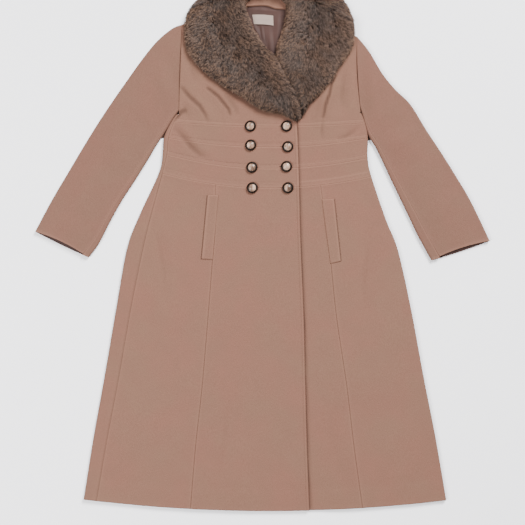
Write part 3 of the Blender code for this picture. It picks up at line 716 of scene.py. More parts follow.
def left_faces(x, y):
    """The height of the left cloth's face and of its underside."""
    free = past_lap(x, y)
    calm = smooth_step((read_table(LEFT_SIDE, y) - FOLD_OUTER - x) / FOLD_CALM)
    relief = max(-CREASE_ROOM, cloth_relief(x, y)) * free * calm
    floor = mix(LAYER, TOP_LAYER, free) + line_relief(FOLDS, x, y) * free * calm + relief * free
    return floor + WALL + relief * (1.0 - free), floor


FACES = {"right": right_faces, "left": left_faces}


def cloth_top(side, x, y):
    return FACES[side](x, y)[0]


def bell(distance, centre, half_width):
    across = (distance - centre) / half_width
    return math.exp(-across * across)


def edge_drop(distance, kind):
    """How far a panel's face falls away beside a seam, a hem or a free edge."""
    if kind == "none" or distance > 4.0 * EDGE_STITCH_INSET:
        return 0.0
    depth, width = ROUNDINGS[kind]
    rise, ridge_place, ridge_width = RIDGES[kind]
    drop = -rise * bell(distance, ridge_place, ridge_width)
    if distance < width:
        share = 1.0 - distance / width
        drop += depth * (1.0 - math.sqrt(max(0.0, 1.0 - share * share)))
    if kind == "free":
        drop += EDGE_STITCH_DEPTH * bell(distance, EDGE_STITCH_INSET, EDGE_STITCH_WIDTH)
    return drop


def pressed(*distances):
    """How pale the nap is beside the nearest edge: worn, with a painted highlight where the edge
    catches the light.
    """
    return bell(max(0.0, min(distances)), 0.0, PRESS_WIDTH)


def crease_shade(x, y):
    """How far a point lies down in a crease, where painted shade darkens the wool."""
    depth = -crease_relief(CREASES, x, y) / CREASE_ROOM
    share = max(0.0, depth - CREASE_SHADE_START) / (1.0 - CREASE_SHADE_START)
    return CREASE_SHADE * min(1.0, share)


def lap_shade(side, x, y):
    """How close the left cloth lies to the lap's edge, where a painted shadow darkens it."""
    if side == "right":
        return 0.0
    return LAP_SHADE * bell(max(0.0, x - read_table(FRONT_EDGE, y)), 0.0, LAP_SHADE_WIDTH)


def fur_shade(x, y):
    """How close a point lies to the fur's outer edge, where a painted shadow darkens the wool."""
    return FUR_SHADE * max(0.0, -crease_relief(FUR_EDGES, x, y))


def seam_worn(depth, *distances):
    """Beside a skirt seam: painted shade in its ditch, then pale where it is pressed, worn nap with
    a painted highlight.
    """
    nearest = max(0.0, min(distances))
    dark = SEAM_SHADE * bell(nearest, 0.0, SEAM_SHADE_WIDTH)
    dark *= smooth_step((depth - SEAM_SHADE_START) / SEAM_SHADE_START)
    return SKIRT_PRESS * bell(nearest, PRESS_WIDTH, PRESS_WIDTH) - dark


def mouth_worn(nearest, opening):
    """A welt's face: pale at its edges, worn nap with a painted highlight, and painted shade for
    the pocket's mouth along its outer one.
    """
    pale = max(pressed(nearest), MOUTH_PRESS * bell(opening, MOUTH_PRESS_PLACE, PRESS_WIDTH))
    return pale - MOUTH_SHADE * bell(opening, 0.0, MOUTH_SHADE_WIDTH)


def stitch_pressed(distance):
    """How pale the nap is along the line of stitches beside a waist seam: worn, with a painted
    highlight.
    """
    return STITCH_PRESS * bell(distance, TOPSTITCH_OFFSET, STITCH_PRESS_WIDTH)


def fold_points(centre, towards, angle):
    """A point of a fold's outer face and of its inner one, as (along, z)."""
    outer = (centre + towards * FOLD_OUTER * math.cos(angle), FOLD_OUTER * (1.0 + math.sin(angle)))
    inner = (
        centre + towards * FOLD_INNER * math.cos(angle),
        FOLD_OUTER + FOLD_INNER * math.sin(angle),
    )
    return outer, inner


def fold_run(centre, towards, start, end, steps=FOLD_STEPS):
    """The points of a fold after its first ones, from one angle to another."""
    return [fold_points(centre, towards, angle) for angle in flat_places(start, end, steps)[1:]]


def whole_fold(centre, towards):
    """A fold from the lowest layer to the top one."""
    return fold_run(centre, towards, -math.pi / 2.0, math.pi / 2.0, 2 * FOLD_STEPS)


def add_fold(grid, row, column, way, ring, run, shift=0.0):
    """Adds a fold of the body's side to a row of a grid, beside a column."""
    for step, ((outer_x, outer_z), (inner_x, inner_z)) in enumerate(run, 1):
        y = ring_y(ring, outer_x) + shift
        grid[row, column + way * step] = ((outer_x, y, outer_z), (inner_x, y, inner_z), 0.0)


def wall_at(x, y, top, floor, wear_and_painted_light=0.0):
    """A grid's entry: a point of the wall's face, the one under it, and how pale or dark the wool
    is painted there: worn nap with a painted highlight when pale, painted shade when dark.
    """
    return (x, y, top), (x, y, floor), wear_and_painted_light


# Meshes

def wall_mesh(name, grid):
    """A closed wall from a grid of (outer, inner, wear and painted light) entries, keyed by row and
    column.
    """
    keys = sorted(grid)
    index = {key: number for number, key in enumerate(keys)}
    count = len(keys)
    places = [grid[key][0] for key in keys] + [grid[key][1] for key in keys]
    press = [grid[key][2] for key in keys] * 2
    faces = []
    sides = set()
    for row, column in keys:
        corners = ((row, column), (row, column + 1), (row + 1, column + 1), (row + 1, column))
        if any(corner not in index for corner in corners):
            continue
        outer = [index[corner] for corner in corners]
        faces.append(outer)
        faces.append([number + count for number in reversed(outer)])
        for start, end in zip(outer, outer[1:] + outer[:1]):
            if (end, start) in sides:
                sides.remove((end, start))
            else:
                sides.add((start, end))
    for start, end in sorted(sides):
        faces.append([end, start, start + count, end + count])
    mesh = bpy.data.meshes.new(name)
    mesh.from_pydata((np.array(places) * MM).tolist(), [], faces)
    wear_and_painted_light = mesh.attributes.new("press", "FLOAT", "POINT")
    wear_and_painted_light.data.foreach_set("value", press)
    data = bmesh.new()
    data.from_mesh(mesh)
    bmesh.ops.delete(data, geom=[v for v in data.verts if not v.link_faces], context="VERTS")
    bmesh.ops.recalc_face_normals(data, faces=data.faces)
    data.to_mesh(mesh)
    data.free()
    mesh.shade_smooth()
    mesh.set_sharp_from_angle(angle=math.radians(65.0))
    return mesh


def add_piece(mesh, material, nodes=()):
    piece = bpy.data.objects.new(mesh.name, mesh)
    bpy.context.scene.collection.objects.link(piece)
    for one in material if isinstance(material, (list, tuple)) else (material,):
        mesh.materials.append(one)
    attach(piece, "root")
    if nodes:
        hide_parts(*nodes)
    return piece


def cut_of(grid):
    """A panel's flat width, length and area in metres, along the middle of its wall."""
    middle = {key: (Vector(entry[0]) + Vector(entry[1])) / 2.0 for key, entry in grid.items()}
    rows = sorted({key[0] for key in grid})
    columns = sorted({key[1] for key in grid})
    widths = []
    for row in rows:
        points = [middle[row, column] for column in columns if (row, column) in middle]
        widths.append(sum((b - a).length for a, b in zip(points, points[1:])))
    lengths = []
    for column in columns:
        points = [middle[row, column] for row in rows if (row, column) in middle]
        lengths.append(sum((b - a).length for a, b in zip(points, points[1:])))
    area = 0.0
    for row, column in middle:
        near = [(row, column + 1), (row + 1, column + 1), (row + 1, column)]
        if all(key in middle for key in near):
            first = middle[near[1]] - middle[row, column]
            second = middle[near[2]] - middle[near[0]]
            area += first.cross(second).length / 2.0
    return max(widths) * MM, max(lengths) * MM, area * MM * MM


def line_inside(piece, count):
    """Gives the inner faces of a wall its second finish, which is its lining."""
    for face in piece.data.polygons:
        if all(corner >= count for corner in face.vertices):
            face.material_index = 1


def add_sheet(name, grid, material, nodes):
    piece = add_piece(wall_mesh(name, grid), material, nodes)
    width, length, area = cut_of(grid)
    area = min(area, width * length)
    return piece


# Shader building

# How pale pressed edges are beside the wool's colour, worn nap with a painted highlight, and how
# dark the painted shade is in creases, seams, the pockets' mouths and beside the fur and the lap's
# edge
PALE_NAP_AND_HIGHLIGHT = 1.4
PAINTED_SHADE_TINT = 0.35
# The fur's tufts run from a shaded lot to a frosted one, and its edges to pale tips
FUR_SHADED = (0.34, 0.29, 0.27)
FUR_FROSTED = (1.9, 1.8, 1.7)
FUR_EDGE_TIP = 2.7
# The thread and the cut of a buttonhole beside the wool's colour; the cut's dark is painted shade
# in the slit
THREAD_PALE = 1.3
CUT_PAINTED_SHADE = 0.1
LABEL_THREAD_COLOUR = (0.32, 0.26, 0.23)

class Socket:
    """A shader socket that takes part in arithmetic, adding Math nodes as it goes."""

    def __init__(self, shader, socket):
        self.shader = shader
        self.socket = socket

    def math(self, operation, first, second):
        return self.shader.node("ShaderNodeMath", {"operation": operation}, {0: first, 1: second})

    def __add__(self, other):
        return self.math("ADD", self, other)

    def __radd__(self, other):
        return self.math("ADD", other, self)

    def __sub__(self, other):
        return self.math("SUBTRACT", self, other)

    def __rsub__(self, other):
        return self.math("SUBTRACT", other, self)

    def __mul__(self, other):
        return self.math("MULTIPLY", self, other)

    def __rmul__(self, other):
        return self.math("MULTIPLY", other, self)


class Shader:
    """One material's nodes."""

    def __init__(self, name):
        self.material = bpy.data.materials.new(name)
        self.material.use_nodes = True
        self.nodes = self.material.node_tree.nodes
        self.links = self.material.node_tree.links
        self.surface = self.nodes["Principled BSDF"]

    def node(self, kind, settings=None, sockets=None, output=0):
        """Adds a node, sets it up, fills its sockets and gives back one of its outputs."""
        made = self.nodes.new(kind)
        for key, value in (settings or {}).items():
            if key == "stops":
                ramp = made.color_ramp.elements
                while len(ramp) < len(value):
                    ramp.new(1.0)
                for element, (place, colour) in zip(ramp, value):
                    element.position = place
                    element.color = (*colour, 1.0)
            else:
                setattr(made, key, value)
        for key, value in (sockets or {}).items():
            self.fill(made.inputs[key], value)
        return Socket(self, made.outputs[output])

    def fill(self, target, value):
        if isinstance(value, Socket):
            self.links.new(value.socket, target)
        elif hasattr(value, "__len__") and len(value) == 3 and target.type == "RGBA":
            target.default_value = (*value, 1.0)
        else:
            target.default_value = value

    def place(self):
        return self.node("ShaderNodeTexCoord", output="Object")

    def noise(self, scale, detail, stretch=(1.0, 1.0, 1.0)):
        vector = self.node("ShaderNodeMapping", {}, {"Vector": self.place(), "Scale": stretch})
        sockets = {"Vector": vector, "Scale": scale, "Detail": detail}
        return self.node("ShaderNodeTexNoise", {}, sockets, "Fac")

    def blend(self, share, first, second, way="MIX"):
        settings = {"data_type": "RGBA", "blend_type": way}
        return self.node("ShaderNodeMix", settings, {0: share, 6: first, 7: second}, 2)

    def between(self, value, low, high):
        """0 below low and 1 above high, smooth in between."""
        settings = {"interpolation_type": "SMOOTHSTEP"}
        sockets = {"Value": value, "From Min": low, "From Max": high}
        return self.node("ShaderNodeMapRange", settings, sockets)

    def bump(self, height, distance):
        sockets = {"Height": height, "Distance": distance}
        self.fill(self.surface.inputs["Normal"], self.node("ShaderNodeBump", {}, sockets))

    def finish(self, colour, roughness, constants):
        self.fill(self.surface.inputs["Base Color"], colour)
        self.fill(self.surface.inputs["Roughness"], roughness)
        for key, value in constants.items():
            self.surface.inputs[key].default_value = value
        return self.material


def scaled(colour, factor):
    return tuple(min(1.0, channel * factor) for channel in colour)


def wool_material(name, colour, settings):
    """Felted wool: soft uneven patches, short fibres lying down the coat, a dusty sheen."""
    shader = Shader(name)
    patches = shader.between(shader.noise(9.0, 3.0), 0.35, 0.65)
    blotches = shader.between(shader.noise(34.0, 4.0), 0.3, 0.7)
    felt = shader.noise(620.0, 4.0, (1.0, 0.55, 1.0))
    fibres = shader.noise(1500.0, 3.0, (1.0, 0.3, 1.0))
    warm = (colour[0] * 1.02, colour[1] * 0.955, colour[2] * 0.965)
    grey = (colour[0] * 0.965, colour[1] * 1.01, colour[2] * 0.985)
    cloth = shader.blend(patches, warm, grey)
    cloth = shader.blend(blotches * settings.patchiness, cloth, scaled(colour, 0.94))
    depth = shader.between(felt + (fibres - 0.5) * 0.5, 0.28, 0.72)
    cloth = shader.blend(depth, shader.blend(1.0, cloth, (0.86, 0.85, 0.85), "MULTIPLY"), cloth)
    # Pale where edges are pressed, worn nap with a painted highlight; dark where painted shade
    # falls in creases, seams, the pockets' mouths and beside the fur and the lap's edge
    press = shader.node("ShaderNodeAttribute", {"attribute_name": "press"}, {}, "Fac")
    cloth = shader.blend(press * settings.wear, cloth, scaled(colour, PALE_NAP_AND_HIGHLIGHT))
    cloth = shader.blend(press * -settings.wear, cloth, scaled(colour, PAINTED_SHADE_TINT))
    shader.bump(felt + fibres * 0.5, settings.nap * 0.001)
    sheen = {
        "Sheen Weight": 0.22, "Sheen Roughness": 0.55, "Specular IOR Level": 0.12,
        "Sheen Tint": (*scaled(colour, 1.9), 1.0),
    }
    return shader.finish(cloth, 0.94 - felt * 0.08, sheen)


def fur_material(name, settings):
    """Fur: dark at the root and pale at the tip, in bluish grey and warm brown patches."""
    shader = Shader(name)
    strand = shader.node("ShaderNodeAttribute", {"attribute_name": "strand"}, {}, "Color")
    parts = shader.node("ShaderNodeSeparateColor", {}, {"Color": strand})
    along, lot, edges = [Socket(shader, part) for part in parts.socket.node.outputs]
    patches = shader.between(shader.noise(26.0, 3.0), 0.38, 0.62)
    tip = shader.blend(patches, tuple(settings.tip_colour), tuple(settings.tip_grey))
    tip = shader.blend(edges * 0.75, tip, scaled(settings.tip_colour, FUR_EDGE_TIP))
    shaded = shader.blend(1.0, tip, FUR_SHADED, "MULTIPLY")
    frosted = shader.blend(1.0, tip, FUR_FROSTED, "MULTIPLY")
    tip = shader.blend(shader.between(lot, 0.2, 0.8), shaded, frosted)
    low = shader.blend(lot, scaled(settings.root_colour, 0.75), tuple(settings.root_colour))
    colour = shader.blend(shader.between(along, 0.15, 0.95), low, tip)
    constants = {"Sheen Weight": 0.1, "Sheen Roughness": 0.4, "Specular IOR Level": 0.2}
    return shader.finish(colour, 0.62, constants)


def backing_material(name, settings):
    shader = Shader(name)
    knit = shader.noise(700.0, 3.0)
    dark = scaled(settings.root_colour, 0.9)
    colour = shader.blend(knit, dark, scaled(settings.root_colour, 1.5))
    shader.bump(knit, 0.0006)
    return shader.finish(colour, 0.95, {"Specular IOR Level": 0.1})


def satin_material(name, colour):
    """Satin lining: mauve-brown, with fine lengthwise threads that catch the light."""
    shader = Shader(name)
    threads = shader.noise(1800.0, 2.0, (1.0, 0.06, 1.0))
    weft = shader.noise(1600.0, 2.0, (0.08, 1.0, 1.0))
    clouds = shader.between(shader.noise(45.0, 3.0), 0.3, 0.7)
    cloth = shader.blend(clouds, scaled(colour, 0.86), scaled(colour, 1.1))
    cloth = shader.blend(threads * 0.4, cloth, scaled(colour, 1.3))
    shader.bump(threads + weft * 0.6, 0.00012)
    return shader.finish(cloth, 0.5 + threads * 0.14, {"Specular IOR Level": 0.14})


def label_material(name):
    """A bare woven label in a mottled cream, with fine darker ribs across."""
    shader = Shader(name)
    ribs = shader.node(
        "ShaderNodeTexWave", {"wave_type": "BANDS", "bands_direction": "Y"},
        {"Vector": shader.place(), "Scale": 650.0, "Distortion": 0.6, "Detail": 1.0}, "Fac",
    )
    threads = shader.noise(1500.0, 2.0, (1.0, 0.2, 1.0))
    cream = shader.blend(shader.noise(60.0, 2.0), (0.215, 0.163, 0.135), (0.262, 0.20, 0.168))
    cream = shader.blend(ribs * 0.35, cream, (0.175, 0.13, 0.108))
    shader.bump(ribs + threads * 0.5, 0.0001)
    return shader.finish(cream, 0.55 + threads * 0.15, {"Specular IOR Level": 0.35})


def horn_material(name):
    """The button's centre: cream horn with grey and brown smoky streaks."""
    shader = Shader(name)
    smoke = shader.noise(95.0, 5.0, (1.0, 0.45, 1.0))
    fine = shader.noise(420.0, 3.0, (1.0, 0.3, 1.0))
    value = smoke * 0.75 + fine * 0.25
    stops = (
        (0.36, (0.04, 0.024, 0.017)), (0.45, (0.13, 0.077, 0.052)),
        (0.53, (0.25, 0.155, 0.108)), (0.66, (0.42, 0.28, 0.205)),
    )
    colour = shader.node("ShaderNodeValToRGB", {"stops": stops}, {"Fac": value})
    shader.bump(fine, 0.00008)
    return shader.finish(colour, 0.22 + smoke * 0.1, {"Specular IOR Level": 0.25})


def rim_material(name):
    """The button's rim: near black brown horn, polished, with fine rubbed marks."""
    shader = Shader(name)
    marks = shader.noise(300.0, 4.0, (1.0, 1.0, 0.4))
    wear_and_painted_light = shader.between(marks, 0.5, 0.8)
    colour = shader.blend(wear_and_painted_light, (0.005, 0.0025, 0.0015), (0.024, 0.011, 0.006))
    shader.bump(marks, 0.00006)
    return shader.finish(colour, 0.42 + marks * 0.12, {"Specular IOR Level": 0.07})


def thread_material(name, colour):
    shader = Shader(name)
    twist = shader.noise(2600.0, 2.0)
    shade = shader.blend(twist, scaled(colour, 0.8), scaled(colour, 1.15))
    return shader.finish(shade, 0.7 - twist * 0.1, {"Specular IOR Level": 0.3})


MATERIALS = {}


def material_for(key):
    """Makes each finish once, from the scene's settings."""
    cloth = bpy.context.scene.coat_cloth
    fur = bpy.context.scene.coat_fur
    wool = tuple(cloth.wool_colour)
    sleeve = tuple(cloth.sleeve_colour)
    # The underarm's wool is the sleeve's, darkened as painted shade for the shadow between the body
    # and the sleeve
    shade = scaled(sleeve, UNDERARM_SHADE)
    makers = {
        "wool": lambda: wool_material("coat_wool", wool, cloth),
        "sleeve_wool": lambda: wool_material("coat_sleeve_wool", sleeve, cloth),
        "underarm": lambda: wool_material("coat_underarm_wool_painted_shade", shade, cloth),
        "fur": lambda: fur_material("collar_fur", fur),
        "backing": lambda: backing_material("collar_backing", fur),
        "satin": lambda: satin_material("lining_satin", tuple(cloth.lining_colour)),
        "label": lambda: label_material("label_weave"),
        "horn": lambda: horn_material("button_horn"),
        "rim": lambda: rim_material("button_rim"),
        "thread": lambda: thread_material("sewing_thread", scaled(wool, THREAD_PALE)),
        "cut": lambda: thread_material("buttonhole_cut", scaled(wool, CUT_PAINTED_SHADE)),
        "pale_thread": lambda: thread_material("label_thread", LABEL_THREAD_COLOUR),
    }
    if key not in MATERIALS:
        MATERIALS[key] = makers[key]()
    return MATERIALS[key]


# Body panels: first ring, last ring, the seams on both sides, and how each edge is finished
PANEL_COLUMNS = ("first_ring", "last_ring", "from_seam", "to_seam", "low_edge", "high_edge")
RIGHT_PANELS = {
    "right_band_1": (1, 2, "side_seam", "front_edge", "seam", "free"),
    "right_band_2": (2, 3, "side_seam", "front_edge", "seam", "free"),
    "right_band_3": (3, 4, "side_seam", "front_edge", "seam", "free"),
    "right_skirt_side": (4, HEM_RING, "side_seam", "right_princess", "seam", "seam"),
    "right_skirt_centre": (4, HEM_RING, "right_princess", "front_edge", "seam", "free"),
}
LEFT_PANELS = {
    "left_band_1": (1, 2, "under_edge", "left_x", "free", "none"),
    "left_band_2": (2, 3, "under_edge", "left_x", "free", "none"),
    "left_band_3": (3, 4, "under_edge", "left_x", "free", "none"),
    "left_skirt_centre": (4, HEM_RING, "under_edge", "left_princess", "free", "seam"),
    "left_skirt_side": (4, HEM_RING, "left_princess", "left_x", "seam", "none"),
}


def row_drop(depth, height, last_ring):
    """How far a row falls away at the seam above it and at the seam or hem below it."""
    drop = edge_drop(depth, "seam")
    below = height - depth
    if last_ring < HEM_RING:
        topstitch = TOPSTITCH_DEPTH * bell(below, TOPSTITCH_OFFSET, TOPSTITCH_WIDTH)
        return drop + edge_drop(below, "seam") + topstitch
    return drop + edge_drop(below, "hem") + TURN_UP_DEPTH * bell(below, HEM_TURN_UP, TURN_UP_WIDTH)


def front_fold(left_x):
    """The quarter fold that carries a left panel round the body's side."""
    return fold_run(left_x - FOLD_OUTER, 1.0, math.pi / 2.0, FOLD_SPLIT)


def body_panel_grid(spec, side):
    """A waist band or a skirt panel, between two rings and two seams."""
    height = BODY_RINGS[spec["first_ring"]][0] - BODY_RINGS[spec["last_ring"]][0]
    is_band = spec["last_ring"] < HEM_RING
    down_step, across_step = (CLOTH_STEP, CLOTH_STEP) if is_band else SKIRT_STEPS
    depths = edge_places(height, down_step, WAIST_PLACES if is_band else SEAM_PLACES)
    middle = ring_at((spec["first_ring"] + spec["last_ring"]) / 2.0)
    mean_width = middle[spec["to_seam"]] - middle[spec["from_seam"]]
    near = FREE_PLACES if "free" in (spec["low_edge"], spec["high_edge"]) else SEAM_PLACES
    across = edge_places(mean_width, across_step, near)
    wraps = spec["to_seam"] == "left_x"
    grid = {}
    for row, depth in enumerate(depths):
        ring = ring_at(place_below(spec["first_ring"], depth))
        shift = 0.0
        if row == 0:
            shift = -SEAM_GAP / 2.0
        elif row == len(depths) - 1 and is_band:
            shift = SEAM_GAP / 2.0
        low = ring[spec["from_seam"]] + SEAM_GAP / 2.0
        high = ring[spec["to_seam"]] - (FOLD_OUTER if wraps else SEAM_GAP / 2.0)
        drop = row_drop(depth, height, spec["last_ring"])
        for column, distance in enumerate(across):
            x = panel_x(low, high, distance, mean_width, near[-1])
            y = ring_y(ring, x) + shift
            fall = drop + edge_drop(x - low, spec["low_edge"])
            fall += edge_drop(high - x, spec["high_edge"])
            top, floor = FACES[side](x, y)
            top = max(top - fall, floor + LEAST_WALL)
            sides = [x - low] if wraps else [x - low, high - x]
            # Pale at seams, the free edge and the stitches, worn nap with a painted highlight;
            # skirt seams also get painted shade in their ditch
            if not is_band:
                wear_and_painted_light = max(pressed(depth), seam_worn(depth, *sides), key=abs)
            elif spec["high_edge"] == "free":
                edge_wear_and_painted_light = FREE_PRESS * bell(high - x, 0.0, FREE_PRESS_WIDTH)
                wear_and_painted_light = max(edge_wear_and_painted_light, pressed(depth, height - depth, *sides))
            else:
                wear_and_painted_light = stitch_pressed(height - depth)
                wear_and_painted_light = max(wear_and_painted_light, pressed(depth, height - depth, *sides))
            # Painted shade down in creases, and painted shadow beside the lap's edge
            wear_and_painted_light -= crease_shade(x, y) + lap_shade(side, x, y)
            grid[row, column] = wall_at(x, y, top, floor, wear_and_painted_light)
        if wraps:
            add_fold(grid, row, len(across) - 1, 1, ring, front_fold(ring["left_x"]), shift)
    return grid


def panel_x(low, high, distance, mean_width, close):
    """Where a column runs in a row that is narrower or wider than the panel's middle."""
    shrink = (high - low) / mean_width
    if shrink <= 1.0:
        if distance < mean_width / 2.0:
            return low + distance * shrink
        return high - (mean_width - distance) * shrink
    if distance <= close:
        return low + distance
    if distance >= mean_width - close:
        return high - (mean_width - distance)
    share = (distance - close) / (mean_width - 2.0 * close)
    return mix(low + close, high - close, share)


def front_side_point(side, place):
    if place > 1.0:
        share = curve_through([row[:1] for row in FRONT_ROWS[1:]], place - 1.0)[0]
        return armhole_point(side, share)
    ring = ring_at(1.0 - place)
    if side == "right":
        x = ring["side_seam"] + SEAM_GAP / 2.0
    else:
        x = ring["left_x"] - FOLD_OUTER
    return x, ring_y(ring, x)


def upper_front_grid(side):
    """The front from the first waist seam to the shoulder."""
    neck_column = FRONT_COLUMNS.index(side + "_x")
    neck = [row[neck_column:neck_column + 2] for row in FRONT_ROWS]
    waist = ring_at(1.0)
    neck[0] = (neck[0][0], ring_y(waist, neck[0][0]))
    waist_side = front_side_point(side, 0.0)
    last_place = len(FRONT_ROWS) - 1
    heights = edge_places(UPPER_FRONT_LENGTH, UPPER_STEP, WAIST_PLACES)
    mean_width = abs(neck[0][0] - waist_side[0])
    across = edge_places(mean_width, UPPER_STEP, FREE_PLACES)
    grid = {}
    for row, height in enumerate(heights):
        place = last_place * height / UPPER_FRONT_LENGTH
        neck_x, neck_y = curve_through(neck, place)
        edge_x, edge_y = front_side_point(side, place)
        shift = SEAM_GAP / 2.0 if row == 0 else 0.0
        curve_left = (1.0 - place / last_place) ** 2
        width = math.hypot(neck_x - edge_x, neck_y - edge_y)
        for column, distance in enumerate(across):
            share = distance / mean_width
            x = mix(edge_x, neck_x, share)
            seam_y = ring_y(waist, mix(waist_side[0], neck[0][0], share))
            curve = seam_y - mix(waist_side[1], neck[0][1], share)
            y = mix(edge_y, neck_y, share) + curve * curve_left + shift
            fall = edge_drop(height, "seam") + edge_drop((1.0 - share) * width, "free")
            if side == "right" or place > 1.0:
                fall += edge_drop(share * width, "seam")
            fall += TOPSTITCH_DEPTH * bell(height, TOPSTITCH_OFFSET, TOPSTITCH_WIDTH)
            top, floor = FACES[side](x, y)
            top = max(top - fall, floor + LEAST_WALL)
            # Pale at the seam, the edge and the stitches, worn nap with a painted highlight; then
            # painted shade in creases and painted shadow beside the lap's edge and the fur
            wear_and_painted_light = max(pressed(height, (1.0 - share) * width), stitch_pressed(height))
            wear_and_painted_light -= crease_shade(x, y) + lap_shade(side, x, y) + fur_shade(x, y)
            grid[row, column] = wall_at(x, y, top, floor, wear_and_painted_light)
        if side == "left" and place <= 1.0:
            ring = ring_at(1.0 - place)
            add_fold(grid, row, 0, -1, ring, front_fold(ring["left_x"]), shift)
    return grid


def shoulder_y(x):
    right_shoulder = armhole_point("right", 1.0)
    left_shoulder = armhole_point("left", 1.0)
    right_neck = FRONT_ROWS[-1][1:3]
    left_neck = FRONT_ROWS[-1][3:5]
    if x < right_neck[0]:
        share = (x - right_shoulder[0]) / (right_neck[0] - right_shoulder[0])
        return mix(right_shoulder[1], right_neck[1], share)
    if x > left_neck[0]:
        share = (x - left_neck[0]) / (left_shoulder[0] - left_neck[0])
        return mix(left_neck[1], left_shoulder[1], share)
    share = (x - right_neck[0]) / (left_neck[0] - right_neck[0])
    return right_neck[1] + BACK_NECK_RISE * math.sin(math.pi * share)


def back_grid():
    """The back lies flat and wraps round the right side up to its seam."""
    grid = {}
    height = BODY_RINGS[0][0] - BODY_RINGS[HEM_RING][0]
    for row, depth in enumerate(edge_places(height, BACK_ROW_STEP, SEAM_PLACES)):
        ring = ring_at(place_below(0, depth))
        right_centre = ring["right_x"] + FOLD_OUTER
        left_centre = ring["left_x"] - FOLD_OUTER
        for column, x in enumerate(flat_places(right_centre, left_centre, BACK_COLUMNS)):
            grid[row, column] = wall_at(x, ring_y(ring, x), 0.0, WALL)
        low_fold = fold_run(left_centre, 1.0, -math.pi / 2.0, -FOLD_SPLIT)
        add_fold(grid, row, BACK_COLUMNS, 1, ring, low_fold)
        add_fold(grid, row, 0, -1, ring, whole_fold(right_centre, -1.0))
        seam_x = ring["side_seam"] - SEAM_GAP / 2.0
        fall_at_hem = edge_drop(height - depth, "hem")
        for step, x in enumerate(flat_places(right_centre, seam_x, BACK_TOP_COLUMNS)[1:], 1):
            y = ring_y(ring, x)
            top, floor = right_faces(x, y)
            top = max(top - edge_drop(seam_x - x, "seam") - fall_at_hem, floor + LEAST_WALL)
            # Pale beside the side seam, worn nap with a painted highlight, with painted shade in
            # its ditch and down in creases
            wear_and_painted_light = seam_worn(depth, seam_x - x) - crease_shade(x, y)
            grid[row, -2 * FOLD_STEPS - step] = wall_at(x, y, top, floor, wear_and_painted_light)
    armpits = ring_at(0.0)
    right_centre = armpits["right_x"] + FOLD_OUTER
    left_centre = armpits["left_x"] - FOLD_OUTER
    for step in range(1, BACK_ROWS_UP + 1):
        share = step / BACK_ROWS_UP
        right_x, right_y = armhole_point("right", share)
        left_x, left_y = armhole_point("left", share)
        for column in range(BACK_COLUMNS + 1):
            across = column / BACK_COLUMNS
            x = mix(right_x, left_x, across)
            low_x = mix(right_centre, left_centre, across)
            top_x = mix(armhole_point("right", 1.0)[0], armhole_point("left", 1.0)[0], across)
            y = mix(ring_y(armpits, low_x), shoulder_y(top_x), share)
            grid[-step, column] = wall_at(x, y, 0.0, WALL)
    return grid


def sleeve_relief(x, y):
    return with_waves(line_relief(SLEEVE_CREASES, x, y), SLEEVE_WAVES, x, y)


def sleeve_section(length, seam_inset):
    """The section of a flat sleeve as (along, z) pairs, outer and inner, for both pieces."""
    angles = flat_places(FOLD_SPLIT, math.pi / 2.0, FOLD_STEPS)
    top = [fold_points(FOLD_OUTER, -1.0, angle) for angle in angles]
    under = [fold_points(FOLD_OUTER, -1.0, -angle) for angle in angles]
    seam = length - seam_inset
    columns = round((MEAN_SLEEVE_WIDTH - 2.0 * FOLD_OUTER) / SLEEVE_STEP)
    near = SEAM_PLACES[::-1]
    flat = flat_places(FOLD_OUTER, seam - SEAM_GAP / 2.0 - near[0], columns)[1:]
    flat += [seam - SEAM_GAP / 2.0 - distance for distance in near[1:]]
    past_seam = flat_places(length - FOLD_OUTER, seam + SEAM_GAP / 2.0, PAST_SEAM_COLUMNS)[1:]
    bottom = flat_places(FOLD_OUTER, length - FOLD_OUTER, columns // 2)[1:]
    top += [((along, TOP_LAYER + WALL), (along, TOP_LAYER)) for along in flat]
    under += [((along, 0.0), (along, WALL)) for along in bottom]
    under += whole_fold(length - FOLD_OUTER, 1.0)
    under += [((along, TOP_LAYER + WALL), (along, TOP_LAYER)) for along in past_seam]
    return top, under


